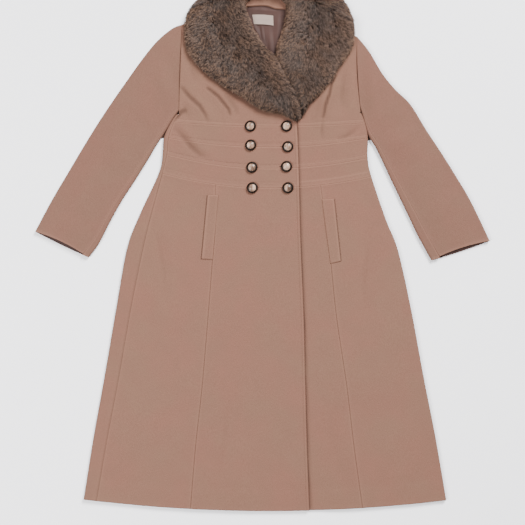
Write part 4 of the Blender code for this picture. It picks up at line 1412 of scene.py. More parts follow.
def sleeve_grids(side):
    """The grids of a sleeve's top piece and of its under piece."""
    rows = SLEEVES[side]
    last = len(rows) - 1
    grids = ({}, {})
    armhole_bow = ARMHOLES[side][-1]
    for row, distance in enumerate(edge_places(SLEEVE_LENGTH, SLEEVE_STEP, SEAM_PLACES)):
        place = last * distance / SLEEVE_LENGTH
        values = curve_through(rows, place)
        outer_fold = Vector(values[0:2])
        across = Vector(values[2:4]) - outer_fold
        length = across.length
        direction = across / length
        up_sleeve = Vector((-direction.y, direction.x))
        if up_sleeve.y < 0.0:
            up_sleeve = -up_sleeve
        at_cuff = max(0.0, place - last + 1.0) ** 2
        at_armhole = max(0.0, 1.0 - place) ** 2
        from_end = min(distance, SLEEVE_LENGTH - distance)
        ends = smooth_step(from_end / SLEEVE_END_CALM)
        drop = edge_drop(distance, "seam") + edge_drop(SLEEVE_LENGTH - distance, "hem")
        for number, section in enumerate(sleeve_section(length, values[4])):
            for column, pair in enumerate(section):
                points = []
                seam = length - values[4]
                for face, (along, z) in enumerate(pair):
                    point = outer_fold + direction * along
                    share = along / length
                    round_off = 4.0 * share * (1.0 - share)
                    point = point + up_sleeve * (CUFF_BOWS[number] * round_off * at_cuff)
                    point = point + Vector((armhole_bow * round_off * at_armhole, 0.0))
                    if face == 0 and z >= TOP_LAYER + WALL:
                        z -= drop + edge_drop(abs(seam - along), "seam")
                    if z > TOP_LAYER - 1.0 and FOLD_OUTER <= along <= length - FOLD_OUTER:
                        flat = smooth_step((along - FOLD_OUTER) / SLEEVE_FOLD_CALM[0])
                        flat *= smooth_step((length - FOLD_OUTER - along) / SLEEVE_FOLD_CALM[1])
                        z += sleeve_relief(point.x, point.y) * flat * ends
                        z += SLEEVE_RISE * math.sin(math.pi * share) ** SLEEVE_RISE_POWER * flat
                    points.append((point.x, point.y, z))
                # Pale at the seams and along the cuff's edge: worn nap with a painted highlight
                wear_and_painted_light = pressed(distance)
                wear_and_painted_light = max(wear_and_painted_light, CUFF_PRESS * bell(SLEEVE_LENGTH - distance, 0.0, CUFF_PRESS_WIDTH))
                if points[0][2] > TOP_LAYER:
                    wear_and_painted_light = max(wear_and_painted_light, pressed(abs(seam - pair[0][0])))
                grids[number][row, column] = (*points, wear_and_painted_light)
    return grids


def underarm_grid(side):
    """The cloth folded in at the armpit, low between the body's side and the sleeve."""
    outward = -1.0 if side == "right" else 1.0
    rows = SLEEVES[side]
    inner = [curve_through(rows, step / 20.0)[2:4] for step in range(100)]
    sleeve_pairs = sorted((y, x) for x, y in inner)
    top_y = rows[0][3] - UNDERARM_TOP_INSET
    body = ring_at(0.0)
    side_x, side_y = body[side + "_x"], body[side + "_y"]
    body_pairs = RIGHT_SIDE if side == "right" else LEFT_SIDE
    body_pairs = [pair for pair in body_pairs if pair[0] <= side_y]
    for share in (0.0, 0.03, 0.06):
        x, y = armhole_point(side, share)
        body_pairs = body_pairs + [(y, x + outward * UNDERARM_CLEARANCE)]
    grid = {}
    for row, y in enumerate(flat_places(UNDERARM_FOOT[side], top_y, UNDERARM_ROWS)):
        tuck = UNDERARM_TUCK * smooth_step((side_y - y) / UNDERARM_TUCK_LENGTH)
        body_x = read_table(body_pairs, y) - outward * tuck
        sleeve_x = read_table(sleeve_pairs, y) + outward * UNDERARM_TUCK
        if (sleeve_x - body_x) * outward < UNDERARM_LEAST_WIDTH:
            sleeve_x = body_x + outward * UNDERARM_LEAST_WIDTH
        for column, x in enumerate(flat_places(body_x, sleeve_x, UNDERARM_COLUMNS)):
            grid[row, column] = wall_at(x, y, UNDERARM_TOP, UNDERARM_UNDERSIDE)
    return grid


# The collar

def collar_floor(side, x, y):
    layer = TOP_LAYER if side == "right" else mix(LAYER, TOP_LAYER, past_lap(x, y))
    carried = layer + WALL + max(0.0, line_relief(FOLDS, x, y)) + COLLAR_CLEARANCE
    past = y - shoulder_y(x) - SHOULDER_DROP_START
    return mix(carried, 0.0, smooth_step(past / SHOULDER_DROP_LENGTH))


def collar_skin(side, share, turn):
    """A point of the fur's backing: share runs to the collar's point, turn across its roll."""
    rows = COLLAR_ROWS[side]
    values = curve_through(rows, share * (len(rows) - 1))
    outer_edge = Vector(values[0:2])
    across = Vector(values[2:4]) - outer_edge
    width = across.length
    direction = across / max(width, 0.001)
    outer_pile = min(COLLAR_SIDE_PILE, width * COLLAR_SIDE_SHARE)
    inner_pile = min(COLLAR_INNER_PILE, width * COLLAR_INNER_SHARE)
    half = (width - outer_pile - inner_pile) / 2.0
    angle = math.pi * (1.0 - turn)
    along = outer_pile + half * (1.0 + math.cos(angle))
    point = outer_edge + direction * along
    taper = smooth_step((share - COLLAR_TAPER_START) / COLLAR_TAPER_LENGTH)
    fullness = mix(1.0, COLLAR_POINT_SHARE, taper)
    floor = collar_floor(side, point.x, point.y)
    height = (COLLAR_CREST - COLLAR_TOP_PILE) * fullness
    lean = 1.0 + COLLAR_LEAN * (along / width - 0.5)
    past = smooth_step((point.y - shoulder_y(point.x)) / SHOULDER_DROP_LENGTH)
    crown = max(0.0, past * (TOP_LAYER / 2.0 - floor))
    roll = math.sin(math.pi * turn) ** COLLAR_ROUNDNESS
    z = floor + COLLAR_BASE_RISE + (height + crown) * lean * roll
    return Vector((point.x, point.y, z))


def collar_grid(side):
    grid = {}
    for station in range(COLLAR_STATIONS + 1):
        share = station / COLLAR_STATIONS
        for column in range(COLLAR_ACROSS + 1):
            turn = column / COLLAR_ACROSS
            skin = collar_skin(side, share, turn)
            deep = COLLAR_BASE_WALL * math.sin(math.pi * turn) ** 0.5
            grid[station, column] = wall_at(*skin, skin.z - deep - COLLAR_EDGE_WALL)
    return grid


def collar_frames(side, stations, turns):
    """Points, outward normals and directions along and across the collar, on a fine lattice."""
    points = np.zeros((stations + 1, turns + 1, 3))
    for station in range(stations + 1):
        for turn in range(turns + 1):
            points[station, turn] = collar_skin(side, station / stations, turn / turns)
    along = np.gradient(points, axis=0)
    across = np.gradient(points, axis=1)
    normals = np.cross(along, across)
    normals /= np.maximum(np.linalg.norm(normals, axis=2, keepdims=True), 1e-9)
    upward = np.where(normals[:, turns // 2, 2].mean() < 0.0, -1.0, 1.0)
    areas = np.linalg.norm(np.cross(along, across), axis=2)
    return points, normals * upward, along, across, areas


def unit(vectors):
    return vectors / np.maximum(np.linalg.norm(vectors, axis=-1, keepdims=True), 1e-9)


def fur_mesh(name, side, settings, draw, tufts, first_share, last_share):
    """Tufts of curled strands on part of a collar half, each strand a narrow tapered ribbon."""
    stations, turns = 120, 48
    points, normals, along, across, areas = collar_frames(side, stations, turns)
    weights = areas.copy()
    shares = np.linspace(0.0, 1.0, stations + 1)
    weights[(shares < first_share) | (shares >= last_share)] = 0.0
    picks = draw.choice(weights.size, size=tufts, p=(weights / weights.sum()).ravel())
    rows, columns = np.unravel_index(picks, weights.shape)
    row_place = np.clip(rows + draw.uniform(-0.5, 0.5, tufts), 0, stations - 1e-6)
    column_place = np.clip(columns + draw.uniform(-0.5, 0.5, tufts), 0, turns - 1e-6)

    def sample(field):
        r, c = row_place.astype(int), column_place.astype(int)
        fr, fc = (row_place - r)[:, None], (column_place - c)[:, None]
        low = field[r, c] * (1 - fc) + field[r, c + 1] * fc
        high = field[r + 1, c] * (1 - fc) + field[r + 1, c + 1] * fc
        return low * (1 - fr) + high * fr

    root = sample(points)
    normal = unit(sample(normals))
    run = unit(sample(along))
    side_way = unit(np.cross(normal, run))
    turn_share = column_place / turns
    outward = unit(sample(across)) * np.where(turn_share < 0.5, -1.0, 1.0)[:, None]
    edge = np.abs(turn_share - 0.5) * 2.0
    strands = settings.strands
    total = tufts * strands
    swirl = draw.uniform(0.0, 2.0 * np.pi, tufts)
    stray = np.cos(swirl)[:, None] * run + np.sin(swirl)[:, None] * side_way
    eddies = np.array([noise.noise_vector(Vector(point / FUR_EDDY)) for point in root])
    flow = outward * (FUR_CREST_LEAN + FUR_EDGE_LEAN * edge)[:, None] + np.array(FUR_FALL)
    lean = flow + eddies * settings.waviness + stray * settings.stray
    lean = unit(lean - normal * (lean * normal).sum(axis=1)[:, None])
    length = settings.pile * draw.uniform(*TUFT_LENGTHS, tufts) * (1.0 - TUFT_EDGE_SHORT * edge)
    past = (row_place / stations - TUFT_POINT_START) / TUFT_POINT_LENGTH
    length *= 1.0 - TUFT_POINT_SHORT * np.clip(past, 0.0, 1.0)
    target = root + normal * (length * TUFT_RISE)[:, None] + lean * (length * TUFT_RUN)[:, None]

    def spread(values):
        return np.repeat(values, strands, axis=0)

    radius = settings.tuft_size * np.sqrt(draw.uniform(0.0, 1.0, total))
    around = draw.uniform(0.0, 2.0 * np.pi, total)
    offset = spread(run) * (radius * np.cos(around))[:, None]
    offset = offset + spread(side_way) * (radius * np.sin(around))[:, None]
    start = spread(root) + offset
    start[:, 2] -= ROOT_SINK * radius * radius / ROOT_SINK_AREA
    reach = draw.uniform(*STRAND_REACH, total)[:, None]
    end = start + (spread(target) + offset * STRAND_SPREAD - start) * reach
    end = end + draw.normal(0.0, STRAND_SCATTER, (total, 3))
    curl_way = unit(np.cross(spread(lean), spread(normal)))
    curl = (draw.uniform(-1.0, 1.0, total) * settings.curl)[:, None] * curl_way
    lift = spread(normal) * (spread(length) * STRAND_LIFT)[:, None]
    middle = start * STRAND_BEND[0] + end * STRAND_BEND[1] + lift + curl
    twist = draw.normal(0.0, STRAND_TWIST, (total, 3))
    facing = unit(np.cross(end - start, spread(normal)) + twist)
    places = np.zeros((total, 5, 3))
    for rung, (centre, width) in enumerate(((start, 1.0), (middle, STRAND_MIDDLE_WIDTH))):
        half = settings.strand_width * width / 2.0
        places[:, rung * 2] = centre - facing * half
        places[:, rung * 2 + 1] = centre + facing * half
    places[:, 4] = end
    places[:, :, 2] = np.maximum(places[:, :, 2], STRAND_LOWEST)
    tint = np.ones((total, 5, 4), np.float32)
    tint[:, :, 0] = np.array(STRAND_SHADES)[None]
    lot = spread(draw.uniform(0.0, 1.0, tufts)) * TUFT_LOT
    lot += draw.uniform(0.0, 1.0, total) * (1.0 - TUFT_LOT)
    tint[:, :, 1] = lot[:, None]
    tint[:, :, 2] = (spread(edge) ** 2)[:, None]
    return strand_mesh(name, places, tint)


def strand_mesh(name, places, tint):
    """One mesh of all strands, each five points and three triangles, with their shades."""
    total = len(places)
    base = (np.arange(total) * 5)[:, None, None]
    corners = np.array(((0, 1, 3), (0, 3, 2), (2, 3, 4)))
    faces = (base + corners[None]).reshape(-1, 3)
    mesh = bpy.data.meshes.new(name)
    mesh.vertices.add(total * 5)
    mesh.vertices.foreach_set("co", (places * MM).astype(np.float32).ravel())
    mesh.loops.add(faces.size)
    mesh.loops.foreach_set("vertex_index", faces.astype(np.int32).ravel())
    mesh.polygons.add(len(faces))
    mesh.polygons.foreach_set("loop_start", np.arange(len(faces), dtype=np.int32) * 3)
    mesh.update(calc_edges=True)
    mesh.shade_smooth()
    colours = mesh.color_attributes.new("strand", "FLOAT_COLOR", "POINT")
    colours.data.foreach_set("color", tint.ravel())
    return mesh


# Sewing

def thread_mesh(name, runs):
    """Small stitches along runs of (points, pitch, length, width), each a slim spindle."""
    places = []
    faces = []
    spindle = (
        (0, 2, 4), (0, 4, 3), (0, 3, 5), (0, 5, 2), (1, 4, 2), (1, 3, 4), (1, 5, 3), (1, 2, 5),
    )
    for points, pitch, stitch, width in runs:
        points = [Vector(point) for point in points]
        carried = pitch / 2.0
        for start, end in zip(points, points[1:]):
            span = (end - start).length
            if span < 1e-6:
                continue
            way = (end - start) / span
            aside = Vector((-way.y, way.x, 0.0)).normalized()
            up = way.cross(aside).normalized()
            while carried < span:
                centre = start + way * carried
                first = len(places)
                places += [
                    centre - way * stitch / 2.0, centre + way * stitch / 2.0,
                    centre + aside * width / 2.0, centre - aside * width / 2.0,
                    centre + up * width / 2.0, centre - up * width / 2.0,
                ]
                faces += [[first + corner for corner in face] for face in spindle]
                carried += pitch
            carried -= span
    mesh = bpy.data.meshes.new(name)
    mesh.from_pydata([tuple(place * MM) for place in places], [], faces)
    mesh.shade_smooth()
    return mesh


def on_top(side, flat_points, lift=THREAD_LIFT):
    return [(x, y, cloth_top(side, x, y) + lift) for x, y in flat_points]


def waist_stitch_run(side, ring_number):
    """The line of stitches over a waist seam."""
    ring = ring_at(float(ring_number))
    if side == "right":
        low, high = ring["side_seam"] + WAIST_STITCH_INSET, ring["front_edge"] - EDGE_STITCH_INSET
    else:
        low, high = ring["front_edge"] + LAP_STITCH_INSET, ring["left_x"] - FOLD_OUTER
    places = flat_places(low, high, WAIST_STITCH_STEPS)
    return on_top(side, [(x, ring_y(ring, x) + TOPSTITCH_OFFSET) for x in places])


def front_edge_stitch_run():
    """The line of stitches inside the right front's edge, from under the collar to the hem."""
    points = []
    height = BODY_RINGS[1][0] - BODY_RINGS[HEM_RING][0]
    for depth in flat_places(0.0, height, EDGE_STITCH_STEPS):
        ring = ring_at(place_below(1, depth))
        x = ring["front_edge"] - EDGE_STITCH_INSET
        points.append((x, ring_y(ring, x)))
    neck = [row[1:3] for row in FRONT_ROWS]
    above = []
    for place in flat_places(EDGE_STITCH_TOP, 0.0, EDGE_STITCH_STEPS_ABOVE):
        x, y = curve_through(neck, place)
        ahead = curve_through(neck, place + PLACE_AHEAD)
        way = Vector((ahead[0] - x, ahead[1] - y)).normalized()
        above.append((x - way.y * EDGE_STITCH_INSET, y + way.x * EDGE_STITCH_INSET))
    above = [point for point in above if point[1] > points[0][1] + 1.0]
    return on_top("right", above + points, -EDGE_STITCH_SINK)


def within(corners, across, down):
    """A point inside four corners, by its shares of the way across and down."""
    first, second, third, fourth = corners
    return first.lerp(second, across).lerp(fourth.lerp(third, across), down)


def quad_points(corners, inset, steps):
    """A closed line a little inside four corners."""
    middle = sum((Vector(corner) for corner in corners), Vector((0.0, 0.0))) / 4.0
    inside = []
    for corner in corners:
        way = Vector(corner) - middle
        step_in = Vector((math.copysign(inset, way.x), math.copysign(inset, way.y)))
        inside.append(Vector(corner) - step_in)
    points = []
    for start, end in zip(inside, inside[1:] + inside[:1]):
        points += [start.lerp(end, step / steps) for step in range(steps)]
    return points + [inside[0]]


# Settings that a user would change

class CoatClothSettings(bpy.types.PropertyGroup):
    """Colours and surface of the wool and the lining."""

    wool_colour: FloatVectorProperty(
        name="Wool colour", description="Colour of the body's wool",
        subtype="COLOR", size=3, min=0.0, max=1.0, default=(0.1435, 0.0730, 0.0512),
    )
    # A little darker than the body's wool: partly the sleeves' own tone, partly painted shade
    sleeve_colour: FloatVectorProperty(
        name="Sleeve colour", description="Colour of the sleeves' wool",
        subtype="COLOR", size=3, min=0.0, max=1.0, default=(0.1285, 0.0655, 0.0466),
    )
    lining_colour: FloatVectorProperty(
        name="Lining colour", description="Colour of the satin lining",
        subtype="COLOR", size=3, min=0.0, max=1.0, default=(0.040, 0.020, 0.0165),
    )
    nap: FloatProperty(
        name="Nap", description="Height of the wool's felted nap, in millimetres",
        default=0.45, min=0.0, max=2.0,
    )
    # Scales both the pale of pressed edges, worn nap with a painted highlight, and the painted
    # shade in creases, seams, gaps and beside the fur
    wear: FloatProperty(
        name="Edge wear", description="How pale the nap is along pressed edges and seams",
        default=0.5, min=0.0, max=1.0, subtype="FACTOR",
    )
    patchiness: FloatProperty(
        name="Patchiness", description="How strongly the wool's colour varies",
        default=0.5, min=0.0, max=1.0, subtype="FACTOR",
    )


class CoatFurSettings(bpy.types.PropertyGroup):
    """Length, density and colours of the collar's fur."""

    pile: FloatProperty(
        name="Pile", description="Length of the fur, in millimetres",
        default=14.0, min=2.0, max=40.0,
    )
    curl: FloatProperty(
        name="Curl", description="How far a strand bends aside, in millimetres",
        default=1.2, min=0.0, max=10.0,
    )
    tuft_size: FloatProperty(
        name="Tuft size", description="Radius of a tuft at its root, in millimetres",
        default=1.3, min=0.5, max=20.0,
    )
    strand_width: FloatProperty(
        name="Strand width", description="Width of a strand at its root, in millimetres",
        default=0.55, min=0.05, max=3.0,
    )
    strands: IntProperty(
        name="Strands", description="Strands in each tuft", default=8, min=1, max=60,
    )
    waviness: FloatProperty(
        name="Waviness", description="How far the fur's lie turns in eddies", default=0.9, min=0.0,
    )
    stray: FloatProperty(
        name="Stray", description="How far single tufts turn from the fur's lie",
        default=0.35, min=0.0,
    )
    tip_colour: FloatVectorProperty(
        name="Tip colour", description="Warm colour of the tips",
        subtype="COLOR", size=3, min=0.0, max=1.0, default=(0.050, 0.0295, 0.0200),
    )
    tip_grey: FloatVectorProperty(
        name="Tip grey", description="Grey colour of the tips",
        subtype="COLOR", size=3, min=0.0, max=1.0, default=(0.037, 0.0250, 0.0200),
    )
    root_colour: FloatVectorProperty(
        name="Root colour", description="Colour at the roots",
        subtype="COLOR", size=3, min=0.0, max=1.0, default=(0.024, 0.0135, 0.009),
    )


class CoatStageSettings(bpy.types.PropertyGroup):
    """Light and camera."""

    key_power: FloatProperty(
        name="Key light", description="Power of the soft light at the upper right, in watts",
        default=960.0, min=0.0, subtype="POWER",
    )
    fill_power: FloatProperty(
        name="Fill light", description="Power of the soft light at the left, in watts",
        default=195.0, min=0.0, subtype="POWER",
    )
    sky: FloatProperty(
        name="Surroundings", description="Brightness of the pale surroundings",
        default=0.55, min=0.0,
    )
    height: FloatProperty(
        name="Camera height", description="Camera's height over the coat",
        default=2.6, min=0.5, unit="LENGTH",
    )


# The picture's side in pixels, the millimetres of a pixel, and the row of pixels where Y is 0
PICTURE_SIDE = 525
PIXEL = 2.28
ZERO_ROW = 243.2
# The picture's frame in metres, and the camera's sensor in millimetres
FRAME_WIDTH = PICTURE_SIDE * PIXEL * MM
FRAME_CENTRE = (0.0, (ZERO_ROW - PICTURE_SIDE / 2.0) * PIXEL * MM)
SENSOR_WIDTH = 36.0
# The stage in metres. The floor lies a hair below the coat's underside
FLOOR_HALF = 6.0
FLOOR_DROP = 0.0002
PAPER_COLOURS = ((0.85, 0.845, 0.87), (0.885, 0.88, 0.905))
SKY_COLOUR = (1.0, 0.99, 1.0, 1.0)
CAMERA_REACH = 50.0
KEY_PLACE = (2.4, 3.4, 3.8)
KEY_SIZE = 2.1
FILL_PLACE = (-2.0, -0.8, 2.6)
FILL_SIZE = 1.6


class COAT_OT_stage(bpy.types.Operator):
    """Add the pale floor, the soft studio light and the camera straight above the coat."""

    bl_idname = "coat.stage"
    bl_label = "Stage"

    def execute(self, context):
        settings = context.scene.coat_stage
        mesh = bpy.data.meshes.new("stage_floor")
        h = FLOOR_HALF
        corners = [(x, y, -FLOOR_DROP) for x, y in ((-h, -h), (h, -h), (h, h), (-h, h))]
        mesh.from_pydata(corners, [], [(0, 1, 2, 3)])
        floor = bpy.data.objects.new("stage_floor", mesh)
        context.scene.collection.objects.link(floor)
        shader = Shader("stage_floor_paper")
        mottle = shader.noise(3.0, 2.0)
        paper = shader.blend(mottle, *PAPER_COLOURS)
        mesh.materials.append(shader.finish(paper, 0.9, {"Specular IOR Level": 0.2}))
        self.add_area("key_light", KEY_PLACE, KEY_SIZE, settings.key_power)
        self.add_area("fill_light", FILL_PLACE, FILL_SIZE, settings.fill_power)
        world = bpy.data.worlds.new("studio")
        world.use_nodes = True
        background = world.node_tree.nodes["Background"]
        background.inputs["Color"].default_value = SKY_COLOUR
        background.inputs["Strength"].default_value = settings.sky
        context.scene.world = world
        camera = bpy.data.cameras.new("camera")
        camera.sensor_width = SENSOR_WIDTH
        camera.lens = SENSOR_WIDTH * settings.height / FRAME_WIDTH
        camera.clip_end = CAMERA_REACH
        holder = bpy.data.objects.new("camera", camera)
        holder.location = (*FRAME_CENTRE, settings.height + TOP_LAYER * MM)
        context.scene.collection.objects.link(holder)
        context.scene.camera = holder
        return {"FINISHED"}

    def add_area(self, name, place, size, power):
        light = bpy.data.lights.new(name, "AREA")
        light.size = size
        light.energy = power
        holder = bpy.data.objects.new(name, light)
        holder.location = place
        aim = -Vector(place)
        holder.rotation_euler = aim.to_track_quat("-Z", "Y").to_euler()
        bpy.context.scene.collection.objects.link(holder)


class COAT_OT_back(bpy.types.Operator):
    """Make the back, wrapped round the right side up to its seam."""

    bl_idname = "coat.back"
    bl_label = "Back"

    def execute(self, context):
        wool = material_for("wool")
        add_sheet("back_cloth", back_grid(), wool, ["back"])
        return {"FINISHED"}


class COAT_OT_fronts(bpy.types.Operator):
    """Make the upper fronts, waist bands and skirt panels."""

    bl_idname = "coat.fronts"
    bl_label = "Fronts"

    def execute(self, context):
        wool = material_for("wool")
        for side, panels in (("left", LEFT_PANELS), ("right", RIGHT_PANELS)):
            for name, panel in panels.items():
                spec = dict(zip(PANEL_COLUMNS, panel))
                self.add_panel(name, body_panel_grid(spec, side), wool)
            self.add_panel(side + "_upper_front", upper_front_grid(side), wool)
        return {"FINISHED"}

    def add_panel(self, name, grid, wool):
        """Adds a panel's cloth in place of its part. A right panel that reaches the lap lies on its
        left counterpart as well as the back.
        """
        if name.startswith("right") and name != "right_skirt_side":
            name.replace("right", "left") + "_cloth"
        add_sheet(name + "_cloth", grid, wool, [name])


class COAT_OT_sleeves(bpy.types.Operator):
    """Make both two-piece sleeves."""

    bl_idname = "coat.sleeves"
    bl_label = "Sleeves"

    def execute(self, context):
        wool = material_for("sleeve_wool")
        for side in ("right", "left"):
            for kind, grid in zip(("top", "under"), sleeve_grids(side)):
                name = side + "_" + kind + "_sleeve"
                finishes = (wool, material_for("satin"))
                piece = add_sheet(name + "_cloth", grid, finishes, [name])
                line_inside(piece, len(grid))
            self.add_allowance(side)
        return {"FINISHED"}

    def add_allowance(self, side):
        """The seam allowance that lies inside the armhole, across the seam."""
        floor = WALL + ALLOWANCE_LIFT
        grid = {}
        offsets = flat_places(-ALLOWANCE_HALF, ALLOWANCE_HALF, ALLOWANCE_COLUMNS)
        for row, share in enumerate(flat_places(*ALLOWANCE_ENDS, ALLOWANCE_ROWS)):
            x, y = armhole_point(side, share)
            for column, offset in enumerate(offsets):
                grid[row, column] = wall_at(x + offset, y, floor + ALLOWANCE_WALL, floor)
        name = side + "_armhole_allowance"
        add_sheet(name, grid, material_for("sleeve_wool"), ())
        # The underarm is painted dark as shade between the body and the sleeve
        underarm = wall_mesh(side + "_underarm", underarm_grid(side))
        add_piece(underarm, material_for("underarm"))


class COAT_OT_welts(bpy.types.Operator):
    """Make the slanted pocket welts on the princess seams."""

    bl_idname = "coat.welts"
    bl_label = "Pocket welts"

    def execute(self, context):
        for side, corners in WELTS.items():
            corners = [Vector(corner) for corner in corners]
            width = (corners[1] - corners[0]).length
            height = (corners[3] - corners[0]).length
            downs = edge_places(height, CLOTH_STEP, FREE_PLACES[:5])
            acrosses = edge_places(width, WELT_STEP, FREE_PLACES[:5])
            grid = {}
            for row, down in enumerate(downs):
                for column, across in enumerate(acrosses):
                    x, y = within(corners, across / width, down / height)
                    floor = cloth_top(side, x, y) + WELT_CLEARANCE
                    nearest = min(down, height - down, across, width - across)
                    top = floor + WELT_WALL - edge_drop(nearest, "hem") * WELT_ROUNDING
                    # Pale at the welt's edges, worn nap with a painted highlight, and painted shade
                    # along its outer edge for the pocket's mouth
                    wear_and_painted_light = mouth_worn(nearest, across if side == "right" else width - across)
                    grid[row, column] = wall_at(x, y, top, floor, wear_and_painted_light)
            name = side + "_welt"
            add_sheet(name + "_cloth", grid, material_for("wool"), [name])
        return {"FINISHED"}


class COAT_OT_neck(bpy.types.Operator):
    """Make what shows in the neck opening: the lining, the collar's band and the label."""

    bl_idname = "coat.neck"
    bl_label = "Neck lining and label"

    def execute(self, context):
        self.add_lining()
        self.add_stand()
        self.add_label()
        return {"FINISHED"}

    def add_lining(self):
        right_neck = [(row[2], row[1]) for row in FRONT_ROWS]
        left_neck = [(row[4], row[3]) for row in FRONT_ROWS]
        grid = {}
        for row, y in enumerate(flat_places(*LINING_ROWS_Y, LINING_STEPS)):
            low = read_table(right_neck, y) + LINING_SIDE_CLEARANCE
            high = read_table(left_neck, y) - LINING_SIDE_CLEARANCE
            for column, x in enumerate(flat_places(low, high, LINING_STEPS)):
                z = lining_top(x, y)
                floor = max(z - LINING_WALL, LAYER - LINING_SINK)
                grid[row, column] = wall_at(x, y, z, floor)
        satin = material_for("satin")
        add_sheet("back_lining_satin", grid, satin, ["back_lining"])

    def add_stand(self):
        floor = LAYER + LINING_WALL + LAYER_GAP
        grid = {}
        for column, place in enumerate(flat_places(0.0, 1.0, STAND_COLUMNS)):
            x, low_y, high_y = curve_through(STAND_ROWS, place * (len(STAND_ROWS) - 1))
            height = high_y - low_y
            for row, share in enumerate(flat_places(0.0, 1.0, STAND_STEPS)):
                distance = share * height
                roll = STAND_ROLL * bell(distance, *STAND_ROLL_PLACE)
                top = floor + WALL - edge_drop(distance, "hem") + roll + STAND_RISE * share
                grid[row, column] = wall_at(x, low_y + distance, top, floor)
        wool = material_for("wool")
        add_sheet("collar_stand_cloth", grid, wool, ["collar_stand"])

    def add_label(self):
        corners = [Vector(corner) for corner in LABEL_CORNERS]
        grid = {}
        for row, down in enumerate(flat_places(0.0, 1.0, LABEL_ROWS)):
            for column, across in enumerate(flat_places(0.0, 1.0, LABEL_COLUMNS)):
                x, y = within(corners, across, down)
                bow = math.sin(math.pi * across)
                floor = LABEL_FLOOR + LABEL_RISE * bow
                grid[row, column] = wall_at(x, y + LABEL_BOW * bow, floor + LABEL_WALL, floor)
        weave = material_for("label")
        add_sheet("neck_label", grid, weave, ["label"])


def lining_top(x, y):
    """The lining's face, in soft pleats that run down from the label."""
    relief = with_waves(line_relief(LINING_FOLDS, x, y), LINING_WAVES, x, y)
    return LAYER + LINING_WALL + LINING_LOFT + max(-LINING_ROOM, relief)


class COAT_OT_collar(bpy.types.Operator):
    """Make the backing of the fur, and the fur in tufts over it."""

    bl_idname = "coat.collar"
    bl_label = "Fur collar"

    def execute(self, context):
        settings = context.scene.coat_fur
        draw = np.random.default_rng(FUR_SEED)
        noise.seed_set(FUR_SEED)
        for side in ("right", "left"):
            node = side + "_collar"
            backing = material_for("backing")
            add_sheet(node + "_backing", collar_grid(side), backing, [node])
            tufts = FUR_TUFTS[side]
            for number, (first, last) in enumerate(FUR_SPANS, 1):
                name = side + "_collar_fur_" + str(number)
                mesh = fur_mesh(name, side, settings, draw, tufts, first, last)
                add_piece(mesh, material_for("fur"))
        return {"FINISHED"}


class COAT_OT_buttons(bpy.types.Operator):
    """Make the eight domed buttons, each a dark rim round a pale centre."""

    bl_idname = "coat.buttons"
    bl_label = "Buttons"

    def execute(self, context):
        for number, centre in enumerate(BUTTON_CENTRES, 1):
            self.add_button(number, centre)
        return {"FINISHED"}

    def add_button(self, number, centre):
        name = "button_" + str(number)
        floor = TOP_LAYER + LAYER
        turn = number * BUTTON_TURN
        places = []
        faces = []
        kinds = []
        for radius_share, height_share, kind in BUTTON_PROFILE:
            for side in range(BUTTON_SIDES):
                angle = 2.0 * math.pi * side / BUTTON_SIDES + turn
                radius = BUTTON_RADIUS * radius_share
                x = centre[0] + radius * math.cos(angle)
                y = centre[1] + radius * math.sin(angle)
                places.append((x, y, floor + BUTTON_HEIGHT * height_share))
        for ring in range(len(BUTTON_PROFILE) - 1):
            for side in range(BUTTON_SIDES):
                after = (side + 1) % BUTTON_SIDES
                low, high = ring * BUTTON_SIDES, (ring + 1) * BUTTON_SIDES
                faces.append((low + side, low + after, high + after, high + side))
                kinds.append(1 if BUTTON_PROFILE[ring + 1][2] == "centre" else 0)
        last = (len(BUTTON_PROFILE) - 1) * BUTTON_SIDES
        faces.append(tuple(reversed(range(BUTTON_SIDES))))
        faces.append(tuple(range(last, last + BUTTON_SIDES)))
        kinds += [0, 1]
        mesh = bpy.data.meshes.new(name + "_turned")
        mesh.from_pydata((np.array(places) * MM).tolist(), [], faces)
        mesh.shade_smooth()
        mesh.set_sharp_from_angle(angle=math.radians(50.0))
        add_piece(mesh, (material_for("rim"), material_for("horn")), [name])
        mesh.polygons.foreach_set("material_index", kinds)


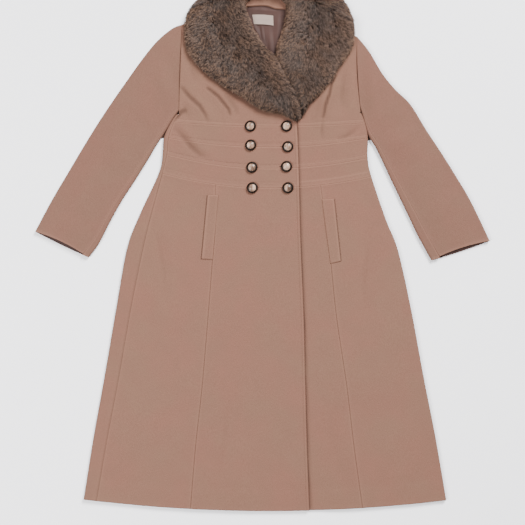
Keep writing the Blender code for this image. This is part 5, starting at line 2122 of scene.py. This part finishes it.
class COAT_OT_stitching(bpy.types.Operator):
    """Make the topstitching, the buttonholes and the label's stitches."""

    bl_idname = "coat.stitching"
    bl_label = "Stitching"

    def execute(self, context):
        runs = [(front_edge_stitch_run(), *EDGE_STITCH)]
        for side in ("right", "left"):
            for ring in WAIST_SEAM_RINGS:
                runs.append((waist_stitch_run(side, ring), *WAIST_STITCH))
            points = []
            for place in quad_points(WELTS[side], *WELT_STITCH_LINE):
                top = cloth_top(side, place.x, place.y) + WELT_WALL
                points.append((place.x, place.y, top + THREAD_LIFT))
            runs.append((points, *WELT_STITCH))
        thread = material_for("thread")
        add_piece(thread_mesh("topstitching", runs), thread)
        holes = []
        cuts = []
        for button_x, y in BUTTON_CENTRES[1::2]:
            start = button_x - BUTTONHOLE_SHIFT - BUTTONHOLE_LENGTH / 2.0
            holes += self.buttonhole(start, y)
            cut = ((start + BUTTONHOLE_END, y), (start + BUTTONHOLE_END + CUT_LENGTH, y))
            cuts.append((on_top("right", cut, CUT_LIFT), *CUT_MARK))
        add_piece(thread_mesh("buttonholes", holes), thread)
        # The cuts are a dark mark of painted shade for the buttonholes' slits
        add_piece(thread_mesh("buttonhole_cuts", cuts), material_for("cut"))
        points = []
        for place in quad_points(LABEL_CORNERS, *LABEL_STITCH_LINE):
            bow = math.sin(math.pi * (place.x - LABEL_START_X) / LABEL_WIDTH)
            z = LABEL_FLOOR + LABEL_RISE * bow + LABEL_WALL
            points.append((place.x, place.y + LABEL_BOW * bow, z))
        label_run = [(points, *LABEL_STITCH)]
        add_piece(thread_mesh("label_stitches", label_run), material_for("pale_thread"))
        return {"FINISHED"}

    def buttonhole(self, start, y):
        """Close satin stitches round a cut behind the button, so that only its end shows."""
        runs = []
        for step in range(BUTTONHOLE_STEPS + 1):
            x = start + BUTTONHOLE_LENGTH * step / BUTTONHOLE_STEPS
            for side in (-1.0, 1.0):
                ends = [(x, y + side * reach) for reach in BUTTONHOLE_REACH]
                runs.append((on_top("right", ends, BUTTONHOLE_LIFT), *HOLE_STITCH))
        return runs


class COAT_PT_panel(bpy.types.Panel):
    """Lists the coat's pieces and settings in the sidebar."""

    bl_idname = "COAT_PT_panel"
    bl_label = "Wool coat"
    bl_space_type = "VIEW_3D"
    bl_region_type = "UI"
    bl_category = "Coat"

    def draw(self, context):
        column = self.layout.column(align=True)
        for operator in OPERATORS:
            column.operator(operator.bl_idname)
        for name, group in SETTINGS.items():
            box = self.layout.box()
            for setting in group.__annotations__:
                box.prop(getattr(context.scene, name), setting)


OPERATORS = (
    COAT_OT_stage, COAT_OT_back, COAT_OT_fronts, COAT_OT_sleeves, COAT_OT_welts,
    COAT_OT_neck, COAT_OT_collar, COAT_OT_buttons, COAT_OT_stitching,
)
SETTINGS = {
    "coat_cloth": CoatClothSettings, "coat_fur": CoatFurSettings, "coat_stage": CoatStageSettings,
}
CLASSES = (*SETTINGS.values(), *OPERATORS, COAT_PT_panel)


def register():
    for one in CLASSES:
        bpy.utils.register_class(one)
    for name, group in SETTINGS.items():
        setattr(bpy.types.Scene, name, PointerProperty(type=group))


def unregister():
    for name in SETTINGS:
        delattr(bpy.types.Scene, name)
    for one in reversed(CLASSES):
        bpy.utils.unregister_class(one)


def main():
    register()
    bpy.ops.coat.stage()
    bpy.ops.coat.back()
    bpy.ops.coat.fronts()
    bpy.ops.coat.sleeves()
    bpy.ops.coat.welts()
    bpy.ops.coat.neck()
    bpy.ops.coat.collar()
    bpy.ops.coat.buttons()
    bpy.ops.coat.stitching()


if __name__ == "__main__":
    main()
